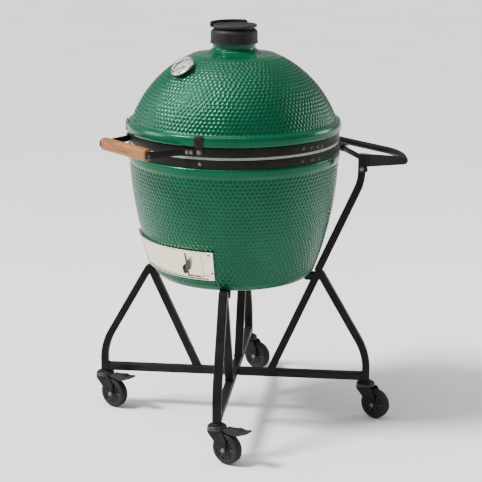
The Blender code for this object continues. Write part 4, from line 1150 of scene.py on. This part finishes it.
def make_panel(word, near, far, start, end, tab_bearing, tab_z):
    """A sliding damper with a dark finger tab that stands out from one end."""
    body = "door_" + word
    low, high = DOOR_Z[0] + 0.0050, DOOR_Z[1] - 0.0055
    section = rounded_corners(door_points(oblong(near, far, low, high)), 0.0004, 2)
    piece("damper_" + word, ring_plate(section, start, end, 1.0), "steel", body,
          stands_for=("door_panel_" + word,), bevel=0.0003, steps=2)
    tab_low, tab_high = tab_z
    foot, head = door_radius(tab_low), door_radius(tab_high)
    root, tip = near + 0.0004, 0.0238
    outline = [(foot + root, tab_low), (foot + tip, tab_low + 0.005), (head + tip, tab_high - 0.006),
               (head + root, tab_high)]
    tab = Shape().add(extruded(rounded_corners(outline, 0.006, 5), -0.0012, 0.0012), turn_z(tab_bearing - 90))
    piece("damper_tab_" + word, tab, "spring", body, bevel=0.0005, steps=2)
    if word == "left":
        # Two thin dark lines on the left panel, one near -22.5 degrees and one at its right edge: painted
        # shade lines.
        lines = Shape()
        for bearing, half, z_low, z_high in ((-22.5, 0.35, 0.560, 0.598), (end - 0.4, 0.38, low, high)):
            mark = door_points(oblong(far - 0.00005, far + 0.00010, z_low, z_high))
            lines.add(ring_plate(mark, bearing - half, bearing + half, half))
        piece("damper_painted_shadow_lines_left", lines, "painted_shadow", body)


# ---------------------------------------------------------------- inside the egg
def make_inside():
    foot = FLOOR_Z + 0.0003
    outer = [(0, foot), (0.186, foot), (0.190, foot + 0.003), (0.212, 0.56), (0.236, 0.63), (0.252, 0.71),
             (0.258, 0.797), (0.256, 0.80)]
    inner = [(0.240, 0.80), (0.238, 0.797), (0.231, 0.71), (0.214, 0.634), (0.211, 0.632), (0.176, 0.631),
             (0.170, 0.60), (0.168, 0.545), (0, 0.540)]
    box = piece("clay_fire_box", turned(outer + inner, 96), "ceramic", "base", stands_for=("fire_box",))
    points, faces = extruded(oblong(-0.045, 0.045, DRAFT_Z[0], 0.600), -0.30, -0.12)
    cut(box, [(moved(points, turn_z(DRAFT_BEARING)), faces)])
    low = 0.8003
    ring = [(0.238, low), (0.262, low), (0.287, 0.872), (0.287, 0.893), (0.285, 0.895), (0.268, 0.895),
            (0.266, 0.893), (0.262, 0.872)]
    piece("clay_fire_ring", turned(ring, 128, closed=True), "ceramic", "base", stands_for=("fire_ring",))
    make_grid()


def make_grid():
    """Round bars across a rim, on two crossbars."""
    bars, pitch, bars_a_side, reach = Shape(), 0.0215, 12, 0.2955
    bars.add(turned(oval(0.2960, 0.8998, 0.0040, 0.0043, 12), 160, closed=True))
    for k in range(-bars_a_side, bars_a_side + 1):
        x = k * pitch
        half = math.sqrt(reach**2 - x * x)
        bars.add(swept([(x, y, 0.9006) for y in np.linspace(-half, half, 8)], circle(0.0030, 12)))
    for y in (-0.115, 0.115):
        bars.add(swept([(x, y, 0.8975) for x in np.linspace(-0.27, 0.27, 8)], circle(0.0018, 10)))
    piece("grill_bars", bars, "bright_steel", "base", ("cooking_grid",), angle=50)


# ---------------------------------------------------------------- nest
def strut_at(z):
    return APEX[0] + STRUT_SLOPE * (z - APEX[1])


def truss_half(sign):
    """One leg, its bend, the apex and the inner strut, as an outline in the (radius, z) plane."""
    leg_turn = math.degrees(math.atan(LEG_SLOPE))
    strut_turn = math.degrees(math.atan(STRUT_SLOPE))
    leg = [(LEG_RADIUS, LEG_BOTTOM_Z)] + arc((LEG_RADIUS - 0.20, 0.1626), 0.20, 0, leg_turn, 16)
    lean = math.radians((leg_turn - strut_turn) / 2)
    drop = 0.008 / math.sin(math.radians((leg_turn + strut_turn) / 2))
    bend = arc((APEX[0] + drop * math.sin(lean), APEX[1] - drop * math.cos(lean)), 0.008, leg_turn,
               180 - strut_turn, 14)
    foot = (strut_at(0.1367), 0.1367)
    outer = offset_line(leg + bend + [foot], -TUBE_WIDTH / 2)
    inner = offset_line(leg + [APEX, foot], TUBE_WIDTH / 2)
    return [(sign * x, z) for x, z in outer + inner[::-1]]


def make_trusses():
    half = TUBE_DEPTH / 2
    edge = half - 0.0006
    upright = (LEG_BOTTOM_Z + 0.003, 0.137, BAR_TOP_Z - 0.001)
    for node, turn, whole in (("cross_truss", -45, True), ("side_truss", 45, False)):
        shape, beads = Shape(), Shape()
        if whole:
            shape.add(extruded(oblong(-BAR_END, BAR_END, LEG_BOTTOM_Z, BAR_TOP_Z), -edge, edge))
        for sign in (-1, 1):
            shape.add(extruded(truss_half(sign), -half, half))
            x = sign * strut_at(BAR_TOP_Z)
            for y in (-edge, edge):
                beads.add(weld_bead([(x + u, y, BAR_TOP_Z) for u in (-0.0132, 0, 0.0132)], 0.0021))
                beads.add(weld_bead([(sign * 0.4282, y, z) for z in upright], 0.0019))
            beads.add(weld_bead([(sign * 0.4276, y, BAR_TOP_Z) for y in (-0.010, 0, 0.010)], 0.0020))
            if not whole:
                bar = oblong(sign * (half + 0.0002), sign * BAR_END, LEG_BOTTOM_Z, BAR_TOP_Z)
                shape.add(extruded(bar, -edge, edge))
                for y in (-0.0134, 0.0134):
                    beads.add(weld_bead([(sign * 0.0142, y, z) for z in upright], 0.0019))
        place = turn_z(turn)
        piece(node.replace("truss", "frame"), shape, "black_steel", "base", stands_for=(node,), bevel=0.0032,
              steps=4, place=place)
        piece(node.replace("truss", "welds"), beads, "black_steel", "base", place=place, angle=60)


def make_pads():
    face = TUBE_WIDTH / 2 * math.sqrt(1 + STRUT_SLOPE**2) + 0.0003
    top_z, low_z = 0.4887, 0.466
    outline = [(0.2285, top_z), (0.2300, low_z + 0.006), (0.238, low_z), (strut_at(low_z) - face, low_z),
               (strut_at(top_z) - face, top_z)]
    for corner, (x, y) in CORNERS.items():
        piece("foot_pad_" + corner, extruded(outline, -0.0175, 0.0175), "rubber", "base",
              stands_for=("egg_pad_" + corner,), bevel=0.0018, place=turn_z(math.degrees(math.atan2(y, x))))


def make_posts():
    bend, end_z, start_z = 0.150, 0.831, 0.4990
    turn = math.degrees(math.atan(STRUT_SLOPE))
    curve = arc((POST_RADIUS - bend, end_z), bend, -turn, 0, 24)
    foot = curve[0][0] - STRUT_SLOPE * (curve[0][1] - start_z)
    line = [(foot, start_z)] + curve + [(POST_RADIUS, 0.887)]
    face, back = offset_line(line, TUBE_WIDTH / 2), offset_line(line, -TUBE_WIDTH / 2)
    level = TUBE_WIDTH / 2 * math.sqrt(1 + STRUT_SLOPE**2)
    face[0], back[0] = (foot - level, start_z), (foot + level, start_z)
    plug = rounded_corners(oblong(POST_RADIUS - 0.0095, POST_RADIUS + 0.0095, 0.8868, 0.8874), 0.0002, 1)
    heel = (foot - level + 0.003, foot, foot + level - 0.003)
    for word, degrees in (("left", 135), ("right", 45)):
        place = turn_z(degrees)
        piece("post_" + word, extruded(face + back[::-1], -TUBE_DEPTH / 2, TUBE_DEPTH / 2), "black_steel",
              "base",
              stands_for=("handler_tube_" + word,), bevel=0.0032, steps=4, place=place)
        bolts, beads = Shape(), Shape()
        for side in (-1, 1):
            bolts.add(hex_bolt(), facing((POST_RADIUS, side * TUBE_DEPTH / 2, 0.8397), (0, side, 0)))
            y = side * (TUBE_DEPTH / 2 - 0.0004)
            beads.add(weld_bead([(x, y, start_z + 0.001) for x in heel], 0.0022))
        piece("post_bolts_" + word, bolts, "bolt", "base", place=place)
        piece("post_plug_" + word, extruded(plug, -0.0115, 0.0115), "plastic", "base", place=place)
        piece("post_weld_" + word, beads, "black_steel", "base", place=place, angle=60)


def make_push_handle():
    radius, turn = 0.216, 50
    tip = PUSH_TIP / math.sqrt(2)
    straight = tip - radius * math.sin(math.radians(turn))
    right = arc((straight, PUSH_Y - radius), radius, 90, 90 - turn, 26)
    x, y = right[-1]
    right.append((x + 0.004 * math.cos(math.radians(turn)), y - 0.004 * math.sin(math.radians(turn))))
    middle = [(x, PUSH_Y) for x in np.linspace(-straight, straight, 24)[1:-1]]
    path = [(-x, y) for x, y in reversed(right)] + middle + right
    shape = Shape().add(swept([(x, y, PUSH_Z) for x, y in path], circle(0.0115, 32)))
    root = POST_RADIUS + TUBE_WIDTH / 2 + 0.0003
    plate = [(root + 0.002, 0.8875), (root + 0.002, 0.8455), (PUSH_TIP, PUSH_Z - 0.0130)]
    plate += arc((PUSH_TIP, PUSH_Z), 0.0130, -60, 60, 14) + [(PUSH_TIP, PUSH_Z + 0.0130)]
    flange = oblong(root, root + 0.005, 0.8300, 0.8870)
    beads, bolts = Shape(), Shape()
    for degrees in (45, 135):
        place = turn_z(degrees)
        shape.add(extruded(plate, -0.003, 0.003), place)
        shape.add(extruded(flange, -0.014, 0.014), place)
        for side in (-1, 1):
            seam = [(root + 0.0052, side * 0.0036, z) for z in (0.8480, 0.866, 0.8850)]
            beads.add(weld_bead(seam, 0.0016), place)
            seat = facing((root + 0.005, side * 0.0085, 0.8350), (1, 0, 0))
            bolts.add(dome_bolt(0.0036, 0.0020), place @ seat)
    piece("push_bar", shape, "black_steel", "base", stands_for=("push_handle",), bevel=0.0009, steps=2)
    piece("push_bar_welds", beads, "black_steel", "base", angle=60)
    piece("push_bar_bolts", bolts, "bolt", "base")


# ---------------------------------------------------------------- casters, round the stem, trailing to +X
def make_casters():
    reach = LEG_RADIUS / math.sqrt(2)
    for corner, (x, y) in CORNERS.items():
        place = Matrix.Translation((x * reach, y * reach, 0)) @ turn_z(TRAIL_TURN)
        make_stem(corner, place)
        make_fork(corner, place)
        make_wheel(corner, place @ Matrix.Translation((TRAIL, 0, WHEEL_RADIUS)))
        if y < 0:
            make_pedal(corner, place @ Matrix.Translation((PEDAL_PIVOT[0], 0, PEDAL_PIVOT[1])))


def make_stem(corner, place):
    plate = [(0, 0.1085), (0.0292, 0.1085), (0.0300, 0.1090), (0.0305, 0.1105), (0.0305, 0.1125),
             (0.0300, 0.1140),
             (0.0270, 0.1168), (0.0240, 0.1188), (0.0220, 0.1192), (0.0180, 0.1196), (0.0162, 0.1202)]
    collar = [(0.0160, 0.1210), (0.0160, 0.1232), (0.0156, 0.1237), (0.0056, 0.1237), (0.0056, 0.1535),
              (0, 0.1540)]
    piece("raceway_" + corner, turned(plate + collar, 64), "plastic", "base",
          ("caster_stem_" + corner,), place=place)
    seal = turned(oval(0.0303, 0.1084, 0.0003, 0.0011, 8), 64, closed=True)
    piece("raceway_seal_" + corner, seal, "bolt", "base", place=place)


def make_fork(corner, place):
    cup = [(0, 0.1005), (0.0280, 0.1005), (0.0296, 0.1012), (0.0308, 0.1030), (0.0312, 0.1045),
           (0.0312, 0.1068),
           (0.0306, 0.1078), (0.0298, 0.1082), (0, 0.1082)]
    shape = Shape().add(turned(cup, 64))
    eye = arc((TRAIL, WHEEL_RADIUS), 0.0115, -150, 30, 16)
    cheek = [(-0.0240, 0.1040), (-0.0225, 0.0940)] + eye + [(0.0480, 0.0800), (0.0330, 0.1040)]
    for side in (-1, 1):
        shape.add(extruded(cheek, side * 0.0200 - 0.0014, side * 0.0200 + 0.0014))
    piece("fork_body_" + corner, shape, "black_steel", "fork_" + corner,
          stands_for=("caster_fork_" + corner,),
          bevel=0.0009, place=place)
    ribs = Shape()
    rib = [(-0.0150, 0.0985), (-0.002, 0.0860), (0.016, 0.0690), (0.0300, 0.0580)]
    for side in (-1, 1):
        line = through([(x, side * 0.0212, z) for x, z in rib], 0.003)
        ribs.add(swept(line, circle(0.0011, 10), up=(0, 1, 0)))
    piece("fork_ribs_" + corner, ribs, "black_steel", "fork_" + corner, place=place, angle=60)
    make_axle(corner, place)


def make_axle(corner, place):
    """The axle bolt: a hexagon head one side and a nut the other."""
    shape = Shape().add(turned(oblong(0, 0.0042, -0.0218, 0.0218), 32), Z_TO_Y)
    for side in (-1, 1):
        flip = Z_TO_Y if side > 0 else Matrix.Rotation(math.radians(90), 4, "X")
        shape.add(turned([(0, 0.0215), (0.0074, 0.0215), (0.0075, 0.0219), (0.0072, 0.0226), (0, 0.0226)],
                         40), flip)
        shape.add(turned([(0, 0.0224), (0.0066, 0.0224), (0.0066, 0.0256), (0.0056, 0.0262), (0, 0.0262)],
                         6), flip)
    piece("axle_bolt_" + corner, shape, "bolt", "fork_" + corner,
          stands_for=("caster_axle_" + corner,),
          place=place @ Matrix.Translation((TRAIL, 0, WHEEL_RADIUS)))


def make_wheel(corner, place):
    half = 0.031 / 2
    side = [(0.0047, half - 0.0008), (0.0125, half - 0.0008), (0.0135, half - 0.0012),
            (0.0150, half - 0.0040),
            (0.0165, half - 0.0050), (0.0320, half - 0.0050), (0.0334, half - 0.0044),
            (0.0345, half - 0.0022),
            (0.0350, half - 0.0013)]
    hub = side + [(r, -y) for r, y in reversed(side)]
    hub_shape = Shape().add(turned(hub, 96, closed=True), Z_TO_Y)
    for k in range(6):
        turn = math.radians(60 * k)
        for y in (0.0044 - half, half - 0.0044):
            spoke = [(radius * math.cos(turn), y, radius * math.sin(turn)) for radius in (0.0140, 0.0335)]
            hub_shape.add(swept(spoke, rounded_rect(0.0030, 0.0022, 0.0007, 2), up=(0, 1, 0)))
    piece("wheel_hub_" + corner, hub_shape, "plastic", "wheel_" + corner, place=place)
    outer = WHEEL_RADIUS
    tread = [(0.0352, half - 0.0012), (0.0366, half - 0.0006), (0.0400, half - 0.0004),
             (0.0440, half - 0.0008),
             (0.0462, half - 0.0020), (0.0480, half - 0.0046), (outer - 0.0003, half - 0.0080),
             (outer, half - 0.0110)]
    rubber = tread + [(outer, 0.0)] + [(r, -y) for r, y in reversed(tread)]
    tread_shape = Shape().add(turned(rubber, 128, closed=True), Z_TO_Y)
    for y in (0.0006 - half, half - 0.0006):
        tread_shape.add(turned(oval(0.0411, y, 0.0007, 0.0007, 8), 96, closed=True), Z_TO_Y)
    piece("wheel_tread_" + corner, tread_shape, "tyre", "wheel_" + corner,
          stands_for=("caster_wheel_" + corner,),
          place=place)


def make_pedal(corner, place):
    """A foot lever over the wheel with a raised, ribbed beak."""
    outline = [(0.0330, 0.1065), (0.0420, 0.1045), (0.0780, 0.1000), (0.1020, 0.1095), (0.1230, 0.1180),
               (0.1200, 0.1230), (0.0980, 0.1195), (0.0850, 0.1225), (0.0600, 0.1175), (0.0330, 0.1155)]
    x, z = PEDAL_PIVOT
    shape = extruded(rounded_corners([(u - x, v - z) for u, v in outline], 0.0035, 4), -0.0158, 0.0158)
    piece("pedal_" + corner, shape, "plastic", "pedal_" + corner, stands_for=("brake_pedal_" + corner,),
          bevel=0.0014, place=place)
    ribs, first, pitch = Shape(), 0.0645, 0.0046
    for k in range(4):
        u = first + pitch * k - x
        v = 0.1176 + (first + pitch * k - 0.0600) * 0.2 - z
        ribs.add(swept([(u, y, v) for y in (-0.0125, 0.0125)], circle(0.0008, 10)))
    piece("pedal_ribs_" + corner, ribs, "plastic", "pedal_" + corner, place=place)


# ---------------------------------------------------------------- stage, lights, camera
def stage_and_lights():
    mesh = bpy.data.meshes.new("floor")
    size = 60.0
    mesh.from_pydata([(-size, -size, -0.0006), (size, -size, -0.0006), (size, size, -0.0006),
                      (-size, size, -0.0006)],
                     [], [(0, 1, 2, 3)])
    floor = bpy.data.objects.new("floor", mesh)
    bpy.context.scene.collection.objects.link(floor)
    floor.data.materials.append(plain_finish("pale_floor", (0.88, 0.88, 0.87), (0.91, 0.91, 0.90),
                                             (0.75, 0.85), 1.5,
                                             60.0, 0.0001))
    world = bpy.data.worlds.new("studio")
    bpy.context.scene.world = world
    world.use_nodes = True
    sky = world.node_tree.nodes["Background"]
    sky.inputs["Color"].default_value = (1.0, 1.0, 1.0, 1.0)
    sky.inputs["Strength"].default_value = 0.42
    sun = bpy.data.lights.new("key", "SUN")
    sun.energy = 5.6
    sun.angle = math.radians(14)
    lamp = bpy.data.objects.new("key", sun)
    lamp.rotation_euler = Vector((0.42, 0.86, -1.15)).to_track_quat("-Z", "Y").to_euler()
    bpy.context.scene.collection.objects.link(lamp)
    lamps = (("left_box", (-2.4, -2.6, 2.3), 1.6, 60.0), ("top_box", (-0.2, -0.6, 3.6), 1.8, 50.0),
             ("rim_box", (1.2, 3.2, 1.9), 1.2, 35.0))
    for name, spot, width, power in lamps:
        light = bpy.data.lights.new(name, "AREA")
        light.shape = "SQUARE"
        light.size = width
        light.energy = power
        lamp = bpy.data.objects.new(name, light)
        lamp.location = spot
        aim = Vector((0, 0, 0.9)) - Vector(spot)
        lamp.rotation_euler = aim.to_track_quat("-Z", "Y").to_euler()
        bpy.context.scene.collection.objects.link(lamp)


def place_camera():
    azimuth, distance, height = math.radians(51.88), 4.725, 1.835
    lens = bpy.data.cameras.new("camera")
    camera = bpy.data.objects.new("camera", lens)
    bpy.context.scene.collection.objects.link(camera)
    camera.location = (AXIS.x + distance * math.sin(azimuth), AXIS.y - distance * math.cos(azimuth), height)
    aim = Vector((AXIS.x, AXIS.y, 0.586)) - camera.location
    camera.rotation_euler = aim.to_track_quat("-Z", "Y").to_euler()
    lens.lens = 111.3
    lens.sensor_width = 36.0
    lens.shift_x = 0.0141
    lens.clip_end = 60.0
    bpy.context.scene.camera = camera


def main():
    place_camera()
    stage_and_lights()
    columns, step = ((1080, 0.0020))
    make_base(columns, step)
    make_dome(columns, step)
    make_bands()
    make_hinge()
    make_handle()
    make_vent()
    make_gauge()
    make_door()
    make_inside()
    make_trusses()
    make_pads()
    make_posts()
    make_push_handle()
    make_casters()
    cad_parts["fire_grate"].data.materials.clear()
    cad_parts["fire_grate"].data.materials.append(FINISH["cast_iron"])


main()
